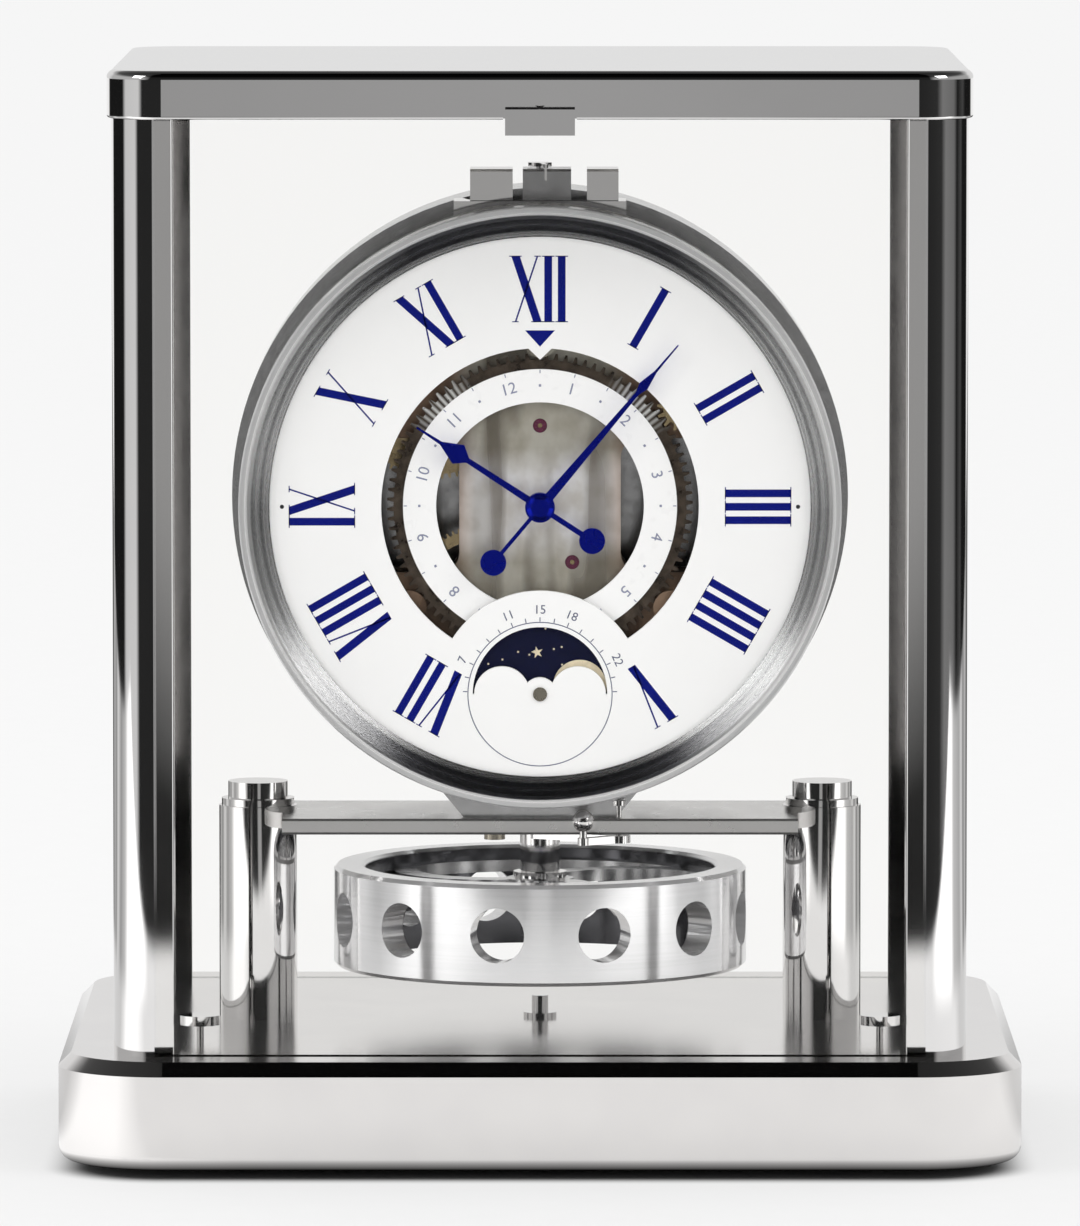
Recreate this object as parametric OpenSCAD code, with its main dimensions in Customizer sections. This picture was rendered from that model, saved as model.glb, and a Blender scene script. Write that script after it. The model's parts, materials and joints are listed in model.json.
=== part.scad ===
// Moon phase desk clock: a torsion pendulum clock in a glass cabinet.
// Millimetres, +Z up, the dial faces -Y, and the origin is the middle of the
// footprint on the table. The pendulum hangs on the Z axis.
// In the movement, "forward" is the distance in front of the pendulum's axis,
// and places on the plates are [x, height] from the middle of the dial.

/* [Base] */
// How far the plinth reaches past the corner posts on every side
base_past = 11.5; // [6:0.1:20]
// Height of the plinth
base_h = 22.2; // [18:0.1:30]
// Corner radius of the plinth in plan
base_r = 22; // [14:0.5:30]
// Chamfer round the top of the plinth
base_chamfer = 2.8; // [1:0.1:5]
// Rounding along the foot of the plinth
base_round = 3; // [1:0.5:5]
// Wall and top thickness of the plinth
base_wall = 3.2; // [2.8:0.1:4]
// Thickness of the cover under the plinth
cover_t = 2; // [1:0.1:3]
// Gap between the table and the plinth
foot_gap = 2; // [1.5:0.1:4]

/* [Cabinet] */
// Width across the corner posts
case_w = 175; // [170:1:180]
// Depth across the corner posts
case_d = 139; // [134:1:144]
// Clear height from the suspension blocks to the top of the corner posts
head_room = 13; // [9:0.1:30]
// Width of a corner post on each face, and its corner radius
post_w = 8.6; // [7:0.1:10]
// Width of the flange that the glass rests on
flange_w = 3.7; // [2:0.1:5]
// Thickness of the glass
glass_t = 3; // [2:0.1:4]
// Height of the cap
cap_h = 9.9; // [8:0.1:14]
// Overhang of the cap past the posts
cap_over = 1; // [0.5:0.1:2]
// Corner radius of the cap in plan
cap_r = 11.5; // [10.5:0.1:13]
// Rounding of the cap's edges
cap_round = 1.8; // [0.5:0.1:2]
// Width of the door pull
pull_w = 14.2; // [10:0.1:20]
// Height of the door pull
pull_h = 5.3; // [4:0.1:7]

/* [Pillars and platform] */
// Distance of each pillar from the pendulum's axis
pillar_x = 59.3; // [56:0.1:62]
// Diameter of the pillars
pillar_dia = 16.4; // [14:0.1:18]
// Height of the platform's underside above the plinth
platform_rise = 40.3; // [39:0.1:44]
// Thickness of the platform
platform_t = 3.3; // [2.5:0.1:5]
// Depth of the platform
platform_d = 37; // [34:1:40]
// Length of the platform between its ends
platform_w = 107.8; // [104:0.1:110]

/* [Pendulum] */
// Outer diameter of the pendulum ring
ring_dia = 86.8; // [80:0.2:90]
// Wall of the pendulum ring
ring_wall = 6.6; // [4:0.1:8]
// Height of the pendulum ring
ring_h = 21.1; // [18:0.1:22]
// Gap between the plinth and the ring
ring_rise = 11.2; // [9:0.1:12]
// Number of holes through the ring
ring_holes = 12; // [8:1:14]
// Diameter of the holes through the ring
ring_hole_dia = 11.4; // [8:0.1:12]
// Turn of the first hole from the front
ring_turn = 18.1; // [0:0.1:30]
// Number of curved arms
ring_arms = 3; // [3:1:5]

/* [Dial] */
// Diameter of the dial that shows inside the bezel
dial_dia = 112.4; // [106:0.2:130]
// Width of the bezel round the dial
bezel_w = 6.4; // [5.8:0.1:9]
// Width of the dial's numeral band, from its edge to its opening
dial_band = 23.2; // [20:0.1:25]
// Width of the toothed rim of the month ring outside its white face
month_rim = 3.2; // [2.8:0.1:4]
// Width of the white face of the month ring
month_band = 7; // [5:0.1:9]
// Distance of the moon's axis in from the dial's edge
moon_in = 17.1; // [16.6:0.1:18]
// Outer radius of the moon window
moon_window_r = 14; // [13:0.1:14.5]
// Radius of the moon's sub-dial
moon_dial_r = 21.6; // [20:0.1:22]
// Length of the hour hand
hour_len = 30.5; // [26:0.1:34]
// Length of the minute hand
minute_len = 44.3; // [38:0.1:50]
// Clock angle of the hour hand
hour_angle = 303; // [0:1:359]
// Clock angle of the minute hand
minute_angle = 40.3; // [0:0.1:359]

/* [Movement] */
// Height of the saddle under the movement ring
saddle_rise = 4.1; // [3:0.1:8]
// How far the movement ring lies inside the bezel's edge
mring_inset = 0.8; // [0.4:0.1:1.5]
// Wall of the movement ring
mring_wall = 2.2; // [1.6:0.1:2.6]
// Number of grooves turned round the movement ring
mring_grooves = 4; // [2:1:6]
// Thickness of the movement plates
plate_t = 2; // [1.5:0.1:2.2]
// How far the capsule drum reaches past the movement ring
drum_over = 3; // [1:0.1:3.5]
// Depth of the capsule drum
drum_d = 24; // [22:0.5:30]
// Wall of the capsule drum
drum_wall = 1.6; // [1:0.1:2.5]
// Gear module of the hour gears
hour_module = 0.4; // [0.38:0.01:0.42]
// Gear module between the intermediate wheel and the centre pinion
centre_module = 0.395; // [0.38:0.005:0.41]
// Gear module between the centre wheel and the escape pinion
escape_module = 0.3035; // [0.29:0.0005:0.31]
// Gear module of the great wheel on the barrel
barrel_module = 0.5; // [0.46:0.01:0.51]

/* [Hidden] */
$fn = 96;
eps = 0.01;

// Clearances
soft_gap = 0.3;      // between pieces that move past each other
seat_gap = 0.1;      // round a piece that is dropped in place
run_gap = 0.05;      // round a shaft in its hole
slip_gap = 0.03;     // round a piece pushed on its arbor

// Gears: tooth counts, directions from one axis to the next, and places
hour_teeth = 40;
minute_pinion_teeth = 10;
minute_teeth = 36;
cannon_teeth = 12;
day_teeth = 80;
centre_teeth = 72;
escape_pinion_teeth = 18;
intermediate_teeth = 72;
centre_pinion_teeth = 12;
great_teeth = 84;
intermediate_pinion_teeth = 12;
escape_teeth = 15;
minute_gear_angle = 45;
day_angle = 240;
intermediate_angle = 90;
escape_angle = -60.6;
barrel_turn = 156.4;
month_teeth = 96;
month_pinion_teeth = 12;
month_pinion_angle = 35;
cannon_module = hour_module * (hour_teeth + minute_pinion_teeth) / (cannon_teeth + minute_teeth);

// Tooth form as shares of the pitch angle and of the module
tooth_root = 0.25;
tooth_tip = 0.11;
tooth_up = 0.9;
tooth_down = 1.15;

function polar(angle, r) = [r * cos(angle), r * sin(angle)];
function heading(from, to) = atan2(to.y - from.y, to.x - from.x);
function gap_of(n1, n2, module_size) = module_size * (n1 + n2) / 2;
// Turn that a gear needs to mesh with one whose tooth stands at "turn",
// where "line" is the direction from that gear's axis to this one's
function mate(line, n1, turn, n2) = line + 180 + 180 / n2 - (turn - line) * n1 / n2;

centre_pos = [0, 0];
minute_pos = polar(minute_gear_angle, gap_of(hour_teeth, minute_pinion_teeth, hour_module));
day_pos = polar(day_angle, gap_of(hour_teeth, day_teeth, hour_module));
intermediate_pos = polar(intermediate_angle,
  gap_of(intermediate_teeth, centre_pinion_teeth, centre_module));
escape_pos = polar(escape_angle, gap_of(centre_teeth, escape_pinion_teeth, escape_module));
barrel_pos = intermediate_pos
  + polar(barrel_turn, gap_of(great_teeth, intermediate_pinion_teeth, barrel_module));
pallet_pos = [12, -24];

// Radii round the dial's middle. The ring holds the dial and clears the train.
ring_clear = 0.6;
great_reach = norm(barrel_pos) + barrel_module * (great_teeth / 2 + tooth_up);
dial_r = dial_dia / 2;
mring_in = max(dial_r + bezel_w - mring_inset - mring_wall, great_reach + ring_clear);
mring_r = mring_in + mring_wall;
bezel_r = mring_r + mring_inset;
plate_r = mring_in - soft_gap;
drum_r = mring_r + drum_over;
month_tip_gap = 1.2;
dial_hole_r = dial_r - dial_band;
month_tip_r = dial_hole_r - month_tip_gap;
month_module = month_tip_r / (month_teeth / 2 + tooth_up);
month_r = month_tip_r - month_rim;
month_hole_r = month_r - month_band;
month_pinion_pos = polar(month_pinion_angle,
  gap_of(month_teeth, month_pinion_teeth, month_module));
moon_pos = [0, moon_in - dial_r];

// Levels, from the table up
bridge_t = 0.9;
block_h = 6.6;
base_bottom = foot_gap;
base_top = base_bottom + base_h;
platform_z = base_top + platform_rise;
platform_top = platform_z + platform_t;
dial_z = platform_top + saddle_rise + mring_r;
mring_top = dial_z + mring_r;
bridge_top = mring_top + bridge_t;
case_top = bridge_top + block_h + head_room;
case_h = case_top - base_top;
cap_top = case_top + cap_h;

// Levels of the plinth and the cabinet
base_w = case_w + 2 * base_past;
base_d = case_d + 2 * base_past;
cap_w = case_w + 2 * cap_over;
cap_d = case_d + 2 * cap_over;
cap_ceiling = 3;
cap_recess = 1;
cavity_top = base_top - base_wall;
cover_inset = 0.6;
cover_bottom = base_bottom + cover_inset;
cover_top = cover_bottom + cover_t;
cavity_r = base_r - base_wall;

// Screws and feet
screw_r = 1.5;
screw_head_r = 2.8;
screw_head_h = 1.8;
screw_in = 7;
boss_r = 4.5;
cover_screw_in_x = 13;
cover_screw_in_y = 35;
cover_screw_x = base_w / 2 - cover_screw_in_x;
cover_screw_y = base_d / 2 - cover_screw_in_y;
level_in_x = 28.6;
level_in_y = 41;
level_x = base_w / 2 - level_in_x;
level_y = level_in_y - base_d / 2;
level_foot_r = 7;
level_screw_r = 2.5;
level_stem_r = 0.75;
level_knob_r = 4.25;
level_knob_h = 2;
level_knob_top = base_top + 5.1;
foot_clear = 0.4;
rear_foot_r = 10;
rear_foot_in = 21;
rear_foot_y = base_d / 2 - rear_foot_in;
rear_foot_spigot_r = 3;

// Cabinet glass and door
glass_inset = 0.3;
post_x = case_w / 2;
post_y = case_d / 2;
post_screw_at = post_w * 0.56;
dowel_r = 1.8;
dowel_h = 4;
door_w = case_w - 2 * post_w - 2 * soft_gap;
door_y = -(post_y - glass_inset - glass_t / 2);
door_groove = glass_t / 2 + soft_gap;
door_top = case_top - soft_gap;
pull_bottom = case_top - 3.2;
pull_top = pull_bottom + pull_h;
pull_lip = 1.4;
pull_groove = 0.4;
notch_gap = 0.4;
notch_rise = 0.8;
catch_r = 1.5;
catch_h = 3.6;

// Pillars and platform
pillar_r = pillar_dia / 2;
pillar_top = platform_top + 1.2;
pillar_tier_r = pillar_r - 0.55;
pillar_tier_h = 1.5;
pillar_disc_r = 6.3;
pillar_disc_h = 3.5;
pillar_stud_r = 2;
pillar_screw_r = 2.4;
pillar_screw_head_r = 4.5;
lug_w = 8;
lug_past = 4;
staff_hole_r = 4;

// Dial and movement, as distances forward of the pendulum's axis
mring_front = 22;
mring_back = -5;
groove_w = 1;
groove_deep = 0.7;
groove_pitch = (mring_front - mring_back) / (mring_grooves + 1);
ledge_w = 2;
ledge_t = 1.5;
plate_front = 21;
plate_back = plate_front - plate_t;
rear_back = 5;
rear_front = rear_back + plate_t;
window_in = 16.8;
window_edge = 13.3;
window_out = plate_r - window_edge;
window_h = 28;
window_r = 4;
bezel_front = 30;
bezel_back = mring_front;
bezel_slope = 4.2;
bezel_rim = 1.4;
dial_front = 25.4;
dial_t = 1.2;
dial_back = dial_front - dial_t;
dial_edge = 2.4;
dial_foot_r = 1.4;
dial_foot_shoulder = 2.2;
dial_foot_angle = 36.9;
dial_foot_at = [for (sx = [1, -1], sz = [1, -1])
  let (r = (dial_r + dial_hole_r) / 2) [sx * r * cos(dial_foot_angle), sz * r * sin(dial_foot_angle)]];
bezel_lip = 1.2;

// Month ring and moon, layered between the front plate and the dial
moon_front = dial_back - soft_gap;
moon_t = 0.5;
month_face_t = 0.3;
month_front = moon_front - moon_t - soft_gap - month_face_t;
month_t = 0.8;
month_back = month_front - month_t;
month_guide_angles = [90, 218, 322];
guide_core_r = 2.4;
guide_flange_r = guide_core_r + 1.2;
guide_flange_t = 0.5;
guide_at_r = month_tip_r + guide_core_r + soft_gap;
moon_disc_r = moon_window_r + 1.2;
moon_star_r = 12;
moon_star_teeth = 59;
moon_star_front = month_back - soft_gap;
moon_star_back = plate_front + soft_gap;
moon_hub_r = 2;
moon_stud_r = 0.8;
moon_stud_head_r = 1.46;
moon_stud_head_t = 0.5;
hump_r = 5.8;
hump_x = 7.9;
moon_hub_window_r = 3.5;
pointer_w = 5;
pointer_drop = 2.4;

// Hands
hour_hand_back = dial_front + 1;
minute_hand_back = hour_hand_back + 1.4;
hand_t = 0.6;
hand_hub_r = 3.1;
hand_disc_r = 2.7;
hour_tail = 12.9;
minute_tail = 15;
hour_leaf_at = 21.2;
minute_leaf_at = 34.1;
hour_pipe_r = 2.2;
cannon_pipe_r = 1.55;
pipe_step = 0.3;
centre_arbor_r = 0.8;
nut_t = 1.2;

// Train layers, forward of the pendulum's axis, and tooth counts
hour_layer = plate_back - 0.4;
minute_layer = hour_layer - 1.4;
centre_layer = minute_layer - 1.8;
intermediate_layer = centre_layer - 1.8;
great_layer = intermediate_layer - 1.8;
escape_layer = great_layer - 2.2;
wheel_t = 1;
escape_wheel_t = 0.8;
barrel_drum_h = 3;
arbor_r = 0.7;
pivot_r = 0.45;
barrel_arbor_r = 2;
barrel_pivot_r = 1.4;
jewel_r = 1.5;
jewel_inset = 0.2;
escape_r = 9;
pallet_reach = 0.95;
star_finger = 9.4;

minute_pinion_turn = minute_gear_angle + 180;
hour_turn = mate(minute_gear_angle + 180, minute_pinion_teeth, minute_pinion_turn, hour_teeth);
cannon_turn = minute_gear_angle;
minute_turn = mate(minute_gear_angle, cannon_teeth, cannon_turn, minute_teeth);
day_turn = mate(day_angle, hour_teeth, hour_turn, day_teeth);
centre_turn = escape_angle;
escape_pinion_turn = mate(escape_angle, centre_teeth, centre_turn, escape_pinion_teeth);
centre_pinion_turn = intermediate_angle;
intermediate_turn = mate(intermediate_angle, centre_pinion_teeth, centre_pinion_turn,
  intermediate_teeth);
intermediate_pinion_turn = barrel_turn;
great_turn = mate(barrel_turn, intermediate_pinion_teeth, intermediate_pinion_turn, great_teeth);
month_turn = month_pinion_angle;
month_pinion_turn = mate(month_pinion_angle, month_teeth, month_turn, month_pinion_teeth);

// Pillars between the plates
post_edge = 4.7;
post_angle = 23.7;
post_at = [for (sx = [1, -1], sz = [1, -1])
  [sx * (plate_r - post_edge) * cos(post_angle), sz * (plate_r - post_edge) * sin(post_angle)]];
plate_pillar_r = 2.5;
plate_screw_r = 1.2;
plate_screw_head_r = 2.2;
plate_screw_head_h = 0.8;
plate_screw_in = 3;

// Pendulum
ring_r = ring_dia / 2;
ring_in = ring_r - ring_wall;
ring_bottom = base_top + ring_rise;
ring_top = ring_bottom + ring_h;
ring_hole_z = ring_bottom + ring_h / 2;
ring_edge = 0.8;
spider_t = 2.5;
spider_z = ring_top - 5.5;
spider_rim = 2.2;
shelf_w = 1.5;
shelf_h = 2;
arm_w = 5;
hub_r = 4.2;
hub_flange_r = 7;
hub_flange_h = 2;
hub_bottom = ring_bottom + 6;
hub_top = platform_z - 0.5;
hub_nut_r = 5.6;
hub_nut_h = 1.4;
staff_r = 1.2;
staff_top = platform_top + 24.2;
staff_room = 1.7;
staff_slot_w = 16;
collet_r = 2;
collet_h = 4;
roller_r = 3.1;
roller_z = platform_top + 14.2;
roller_t = 1;
roller_pin_at = 2.6;
roller_pin_r = 0.4;
roller_pin_h = 2.5;
wire_r = 0.3;
tube_r = 3;
tube_in = 2.3;
tube_bottom = platform_top + 28.2;
stop_post_r = 1.8;
stop_post_h = 4.4;
stop_foot_r = 3.6;
stop_foot_h = 0.9;
stop_tenon_r = 1.2;
stop_tenon_h = 2.4;

// Lock lever under the platform
lever_t = 1.5;
lever_z = platform_z - soft_gap - lever_t;
lever_pos = [16.5, -17];
lever_w = 3;
lever_tail = 18.9;
lever_tail_angle = 153.7;
lever_knob = [9, -22.5];
lever_ball_r = 2.3;
lever_ball_z = platform_top;
lever_pin_r = 0.6;
lever_pin_head_r = 1.3;
lever_pin_head_h = 1;
lever_pin_top = platform_top + 3.7;

// Cradle between the platform and the movement ring
cradle_bottom_w = 32;
cradle_top_w = 46;
cradle_top = 8.5;
cradle_front = 15.2;
cradle_back = mring_back + soft_gap;
cradle_slot = 9;
cradle_screw_at = [[-9.5, -12], [-9.5, 1], [11, 1]];
cradle_screw_r = 1.3;
cradle_screw_in = 3;

// Suspension bridge on top of the movement ring
bridge_w = 36;
bridge_front = 9;
bridge_back = mring_back + soft_gap;
block_front = 7.4;
block_back = mring_back + 0.4;
block_edge = 0.5;
left_block = [-14.6, -5.7];
head_block = [-3.6, 6.5];
right_block = [9.8, 16.4];
wire_top = bridge_top + block_h - 2.6;
index_pin_r = 0.8;
index_pin_h = 1.8;
index_disc_r = 2.6;
index_t = 0.8;
index_w = 1;
index_reach = [1.2, -8.7];
index_needle = 3.4;

// Capsule drum behind the movement
drum_front = mring_back;
drum_back = drum_front - drum_d;
drum_front_wall = 1.5;
drum_hole_r = 5;
drum_cover_t = 2.4;
drum_cover_edge = 0.8;
cover_ridges = 4;
cover_ridge_w = 3;
cover_ridge_h = 0.8;
cover_boss_r = 9;
cover_boss_h = 1.2;
bellows_r = 52;
bellows_fold = 4;
bellows_folds = 5;
bellows_wall = 0.8;
bellows_front = drum_front - drum_front_wall - 1.5;
bellows_back = drum_back + drum_cover_t;
capsule_coils = 4;
capsule_coil_r = 16;
capsule_wire_r = 0.9;
coil_steps = 20;
coil_sides = 6;

// Helpers

module rounded_plan(w, d, r) {
  square([w - 2 * r, d], center = true);
  square([w, d - 2 * r], center = true);
  for (sx = [-1, 1], sy = [-1, 1])
    translate([sx * (w / 2 - r), sy * (d / 2 - r)]) circle(r = r);
}

// Half section of a slab's edge, from its middle line to its side at x = a
module edge_section(a, h, chamfer, round_low, round_high) {
  difference() {
    square([a, h]);
    if (chamfer > 0)
      translate([a, h]) rotate(45)
        square([chamfer * sqrt(2), 3 * chamfer], center = true);
    if (round_high > 0) translate([a - round_high, h - round_high])
      difference() {
        square(round_high + eps);
        circle(r = round_high);
      }
    if (round_low > 0) translate([a - round_low, -eps])
      difference() {
        square([round_low + eps, round_low + eps]);
        translate([0, round_low + eps]) circle(r = round_low);
      }
  }
}

// Slab with rounded corners whose section is worked along every edge
module edged_slab(w, d, r, h, chamfer = 0, round_low = 0, round_high = 0) {
  for (sx = [-1, 1], sy = [-1, 1])
    translate([sx * (w / 2 - r), sy * (d / 2 - r), 0])
      rotate_extrude() edge_section(r, h, chamfer, round_low, round_high);
  for (side = [0, 1]) mirror([side, 0, 0])
    translate([0, d / 2 - r, 0]) rotate([90, 0, 0]) linear_extrude(d - 2 * r)
      edge_section(w / 2, h, chamfer, round_low, round_high);
  for (side = [0, 1]) mirror([0, side, 0])
    translate([-(w / 2 - r), 0, 0]) rotate([90, 0, 90]) linear_extrude(w - 2 * r)
      edge_section(d / 2, h, chamfer, round_low, round_high);
}

// Flat piece of the movement, between two distances forward of the axis
module sheet(back, front) {
  translate([0, -back, dial_z]) rotate([90, 0, 0]) linear_extrude(front - back) children();
}

// Turned piece of the movement, from a [radius, forward] section
module turned(pos = [0, 0]) {
  translate([pos.x, 0, dial_z + pos.y]) rotate([90, 0, 0]) rotate_extrude() children();
}

module rod(pos, r, back, front) {
  translate([pos.x, -back, dial_z + pos.y]) rotate([90, 0, 0])
    cylinder(r = r, h = front - back);
}

module gear_plan(n, module_size, turn) {
  pitch = 360 / n;
  root = module_size * (n / 2 - tooth_down);
  tip = module_size * (n / 2 + tooth_up);
  polygon([for (i = [0:n - 1])
    for (corner = [[root, -tooth_root], [tip, -tooth_tip], [tip, tooth_tip], [root, tooth_root]])
      polar(turn + pitch * (i + corner[1]), corner[0])]);
}

module gear(pos, n, module_size, turn, back, front) {
  sheet(back, front) translate(pos) gear_plan(n, module_size, turn);
}

// Wheel blank cut away between its spokes
module crossings(pos, inner, outer, spokes, spoke_w) {
  translate(pos) for (i = [0:spokes - 1])
    rotate(360 * (i + 0.5) / spokes) difference() {
      intersection() {
        difference() {
          circle(r = outer);
          circle(r = inner);
        }
        polygon([[0, 0], polar(-180 / spokes, 2 * outer), [2 * outer, 0],
          polar(180 / spokes, 2 * outer)]);
      }
      for (side = [-1, 1]) rotate(side * 180 / spokes)
        translate([0, -spoke_w / 2]) square([2 * outer, spoke_w]);
    }
}

module wheel(pos, n, module_size, turn, back, front, spokes) {
  root = module_size * (n / 2 - tooth_down);
  sheet(back, front) difference() {
    translate(pos) gear_plan(n, module_size, turn);
    crossings(pos, root * 0.26, root * 0.86, spokes, root * 0.13);
  }
}

// Plinth and feet

module base_plinth() {
  color("gainsboro") difference() {
    translate([0, 0, base_bottom])
      edged_slab(base_w, base_d, base_r, base_h, base_chamfer, base_round, 0);
    difference() {
      translate([0, 0, base_bottom - eps]) linear_extrude(cavity_top - base_bottom + eps)
        rounded_plan(base_w - 2 * base_wall, base_d - 2 * base_wall, cavity_r);
      for (sx = [-1, 1], sy = [-1, 1])
        translate([sx * cover_screw_x, sy * cover_screw_y, cover_top])
          cylinder(r = boss_r, h = base_h);
      for (sx = [-1, 1]) translate([sx * level_x, level_y, cover_top])
        cylinder(r = level_screw_r + 3, h = base_h);
    }
    for (sx = [-1, 1], sy = [-1, 1])
      translate([sx * cover_screw_x, sy * cover_screw_y, cover_top - eps])
        cylinder(r = screw_r + run_gap, h = screw_in + seat_gap);
    for (sx = [-1, 1]) translate([sx * level_x, level_y, 0]) {
      cylinder(r = level_screw_r + run_gap, h = cavity_top - 1);
      cylinder(r = level_stem_r + run_gap, h = base_top + 1);
    }
    for (sx = [-1, 1]) translate([sx * pillar_x, 0, 0])
      cylinder(r = pillar_screw_r + seat_gap, h = base_top + 1);
    for (sx = [-1, 1], sy = [-1, 1])
      translate([sx * (post_x - post_screw_at), sy * (post_y - post_screw_at), 0])
        cylinder(r = screw_r + seat_gap, h = base_top + 1);
    translate([0, rear_foot_y, 0])
      cylinder(r = rear_foot_spigot_r + seat_gap, h = cover_top);
    translate([0, 0, base_top - stop_tenon_h - seat_gap])
      cylinder(r = stop_tenon_r + seat_gap, h = base_wall + 1);
    translate([-(post_x - post_w), door_y - door_groove, base_top - door_groove])
      cube([2 * (post_x - post_w), 2 * door_groove, base_wall]);
  }
}

module base_cover() {
  color("dimgray") difference() {
    translate([0, 0, cover_bottom]) linear_extrude(cover_t)
      rounded_plan(base_w - 2 * base_wall - 2 * seat_gap,
        base_d - 2 * base_wall - 2 * seat_gap, cavity_r - seat_gap);
    for (sx = [-1, 1], sy = [-1, 1])
      translate([sx * cover_screw_x, sy * cover_screw_y, 0])
        cylinder(r = screw_r + seat_gap, h = cover_top + 1);
    for (sx = [-1, 1]) translate([sx * level_x, level_y, 0])
      cylinder(r = level_screw_r + soft_gap, h = cover_top + 1);
    translate([0, rear_foot_y, 0])
      cylinder(r = rear_foot_spigot_r + seat_gap, h = cover_top + 1);
  }
}

module screw_up(at, z_head, r, head_r, head_h, reach) {
  translate([at.x, at.y, z_head - head_h]) cylinder(r = head_r, h = head_h);
  translate([at.x, at.y, z_head - eps]) cylinder(r = r, h = reach + eps);
}

module base_screws() {
  color("silver") {
    for (sx = [-1, 1], sy = [-1, 1]) {
      screw_up([sx * cover_screw_x, sy * cover_screw_y], cover_bottom, screw_r,
        screw_head_r, cover_inset, cover_t + screw_in - seat_gap);
      screw_up([sx * (post_x - post_screw_at), sy * (post_y - post_screw_at)], cavity_top,
        screw_r, screw_head_r, screw_head_h, base_wall + screw_in);
    }
    for (sx = [-1, 1])
      screw_up([sx * pillar_x, 0], cavity_top, pillar_screw_r, pillar_screw_head_r,
        screw_head_h + 1, base_wall + screw_in);
  }
}

module rear_foot() {
  color("dimgray") translate([0, rear_foot_y, 0]) {
    cylinder(r = rear_foot_r, h = cover_bottom);
    cylinder(r = rear_foot_spigot_r, h = cover_top);
  }
}

module level_screw(side) {
  color("silver") translate([side * level_x, level_y, 0]) {
    cylinder(r = level_foot_r, h = base_bottom - foot_clear);
    cylinder(r = level_screw_r, h = cavity_top - 1 - soft_gap);
    cylinder(r = level_stem_r, h = level_knob_top - level_knob_h + eps);
    translate([0, 0, level_knob_top - level_knob_h])
      cylinder(r = level_knob_r, h = level_knob_h);
  }
}

// Cabinet

// Plan of a corner post with its corner at the origin; "door" is the extra
// room that the tilting front glass needs in its rebate
module post_plan(door) {
  intersection() {
    square(post_w);
    translate([post_w, post_w]) circle(r = post_w);
  }
  front_rebate = glass_inset + glass_t + door;
  side_rebate = glass_inset + glass_t;
  translate([post_w - eps, front_rebate]) square([flange_w + eps, post_w - front_rebate]);
  translate([side_rebate, post_w - eps]) square([post_w - side_rebate, flange_w + eps]);
}

module corner_post(sx, sy, door) {
  color("silver") difference() {
    union() {
      translate([sx * post_x, sy * post_y, base_top]) mirror([sx > 0 ? 1 : 0, 0, 0])
        mirror([0, sy > 0 ? 1 : 0, 0]) linear_extrude(case_h) post_plan(door);
      translate([sx * (post_x - post_screw_at), sy * (post_y - post_screw_at), case_top - eps])
        cylinder(r = dowel_r, h = dowel_h);
    }
    translate([sx * (post_x - post_screw_at), sy * (post_y - post_screw_at), base_top - eps])
      cylinder(r = screw_r + slip_gap, h = screw_in + seat_gap);
  }
}

module side_glass(side) {
  color([0.9, 0.95, 0.95, 0.35])
    translate([side > 0 ? post_x - glass_inset - glass_t : -(post_x - glass_inset),
      -(post_y - post_w - seat_gap), base_top])
      cube([glass_t, 2 * (post_y - post_w - seat_gap), case_h - seat_gap]);
}

module glass_rear() {
  color([0.9, 0.95, 0.95, 0.35])
    translate([-(post_x - post_w - seat_gap), post_y - glass_inset - glass_t, base_top])
      cube([2 * (post_x - post_w - seat_gap), glass_t, case_h - seat_gap]);
}

module front_glass() {
  color([0.9, 0.95, 0.95, 0.35]) {
    translate([-door_w / 2, door_y - glass_t / 2, base_top])
      cube([door_w, glass_t, door_top - base_top]);
    translate([-door_w / 2, door_y, base_top]) rotate([0, 90, 0])
      cylinder(r = glass_t / 2, h = door_w);
  }
}

module door_pull() {
  back = door_y + glass_t / 2 + pull_lip;
  front = door_y - glass_t / 2 - pull_lip;
  color("silver") difference() {
    translate([-pull_w / 2, front, pull_bottom]) cube([pull_w, back - front, pull_h]);
    translate([-pull_w, door_y - glass_t / 2, pull_bottom - 1])
      cube([2 * pull_w, glass_t, door_top - pull_bottom + 1]);
    translate([-pull_groove / 2, front - 1, pull_bottom - 1])
      cube([pull_groove, 1 + pull_groove, pull_h + 2]);
  }
}

module door_catch() {
  color("silver") translate([0, door_y, pull_top + soft_gap + catch_r]) {
    cylinder(r = catch_r, h = catch_h - catch_r);
    sphere(r = catch_r);
  }
}

module cap() {
  recess_w = 2 * (post_x - post_w - flange_w - cap_recess);
  recess_d = 2 * (post_y - post_w - flange_w - cap_recess);
  notch_back = door_y + glass_t / 2 + pull_lip + notch_gap;
  color("silver") difference() {
    translate([0, 0, case_top])
      edged_slab(cap_w, cap_d, cap_r, cap_h, 0, 0.6, cap_round);
    translate([-recess_w / 2, -recess_d / 2, case_top - 1])
      cube([recess_w, recess_d, cap_h - cap_ceiling + 1]);
    translate([-pull_w / 2 - notch_gap, -cap_d, case_top - 1])
      cube([pull_w + 2 * notch_gap, cap_d + notch_back, pull_top + notch_rise - case_top + 1]);
    translate([0, door_y, case_top])
      cylinder(r = catch_r + run_gap, h = pull_top + soft_gap + catch_h - case_top + seat_gap);
    for (sx = [-1, 1], sy = [-1, 1])
      translate([sx * (post_x - post_screw_at), sy * (post_y - post_screw_at), case_top - 1])
        cylinder(r = dowel_r + run_gap, h = dowel_h + 1 + seat_gap);
  }
}

// Pillars, platform and stop

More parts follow.
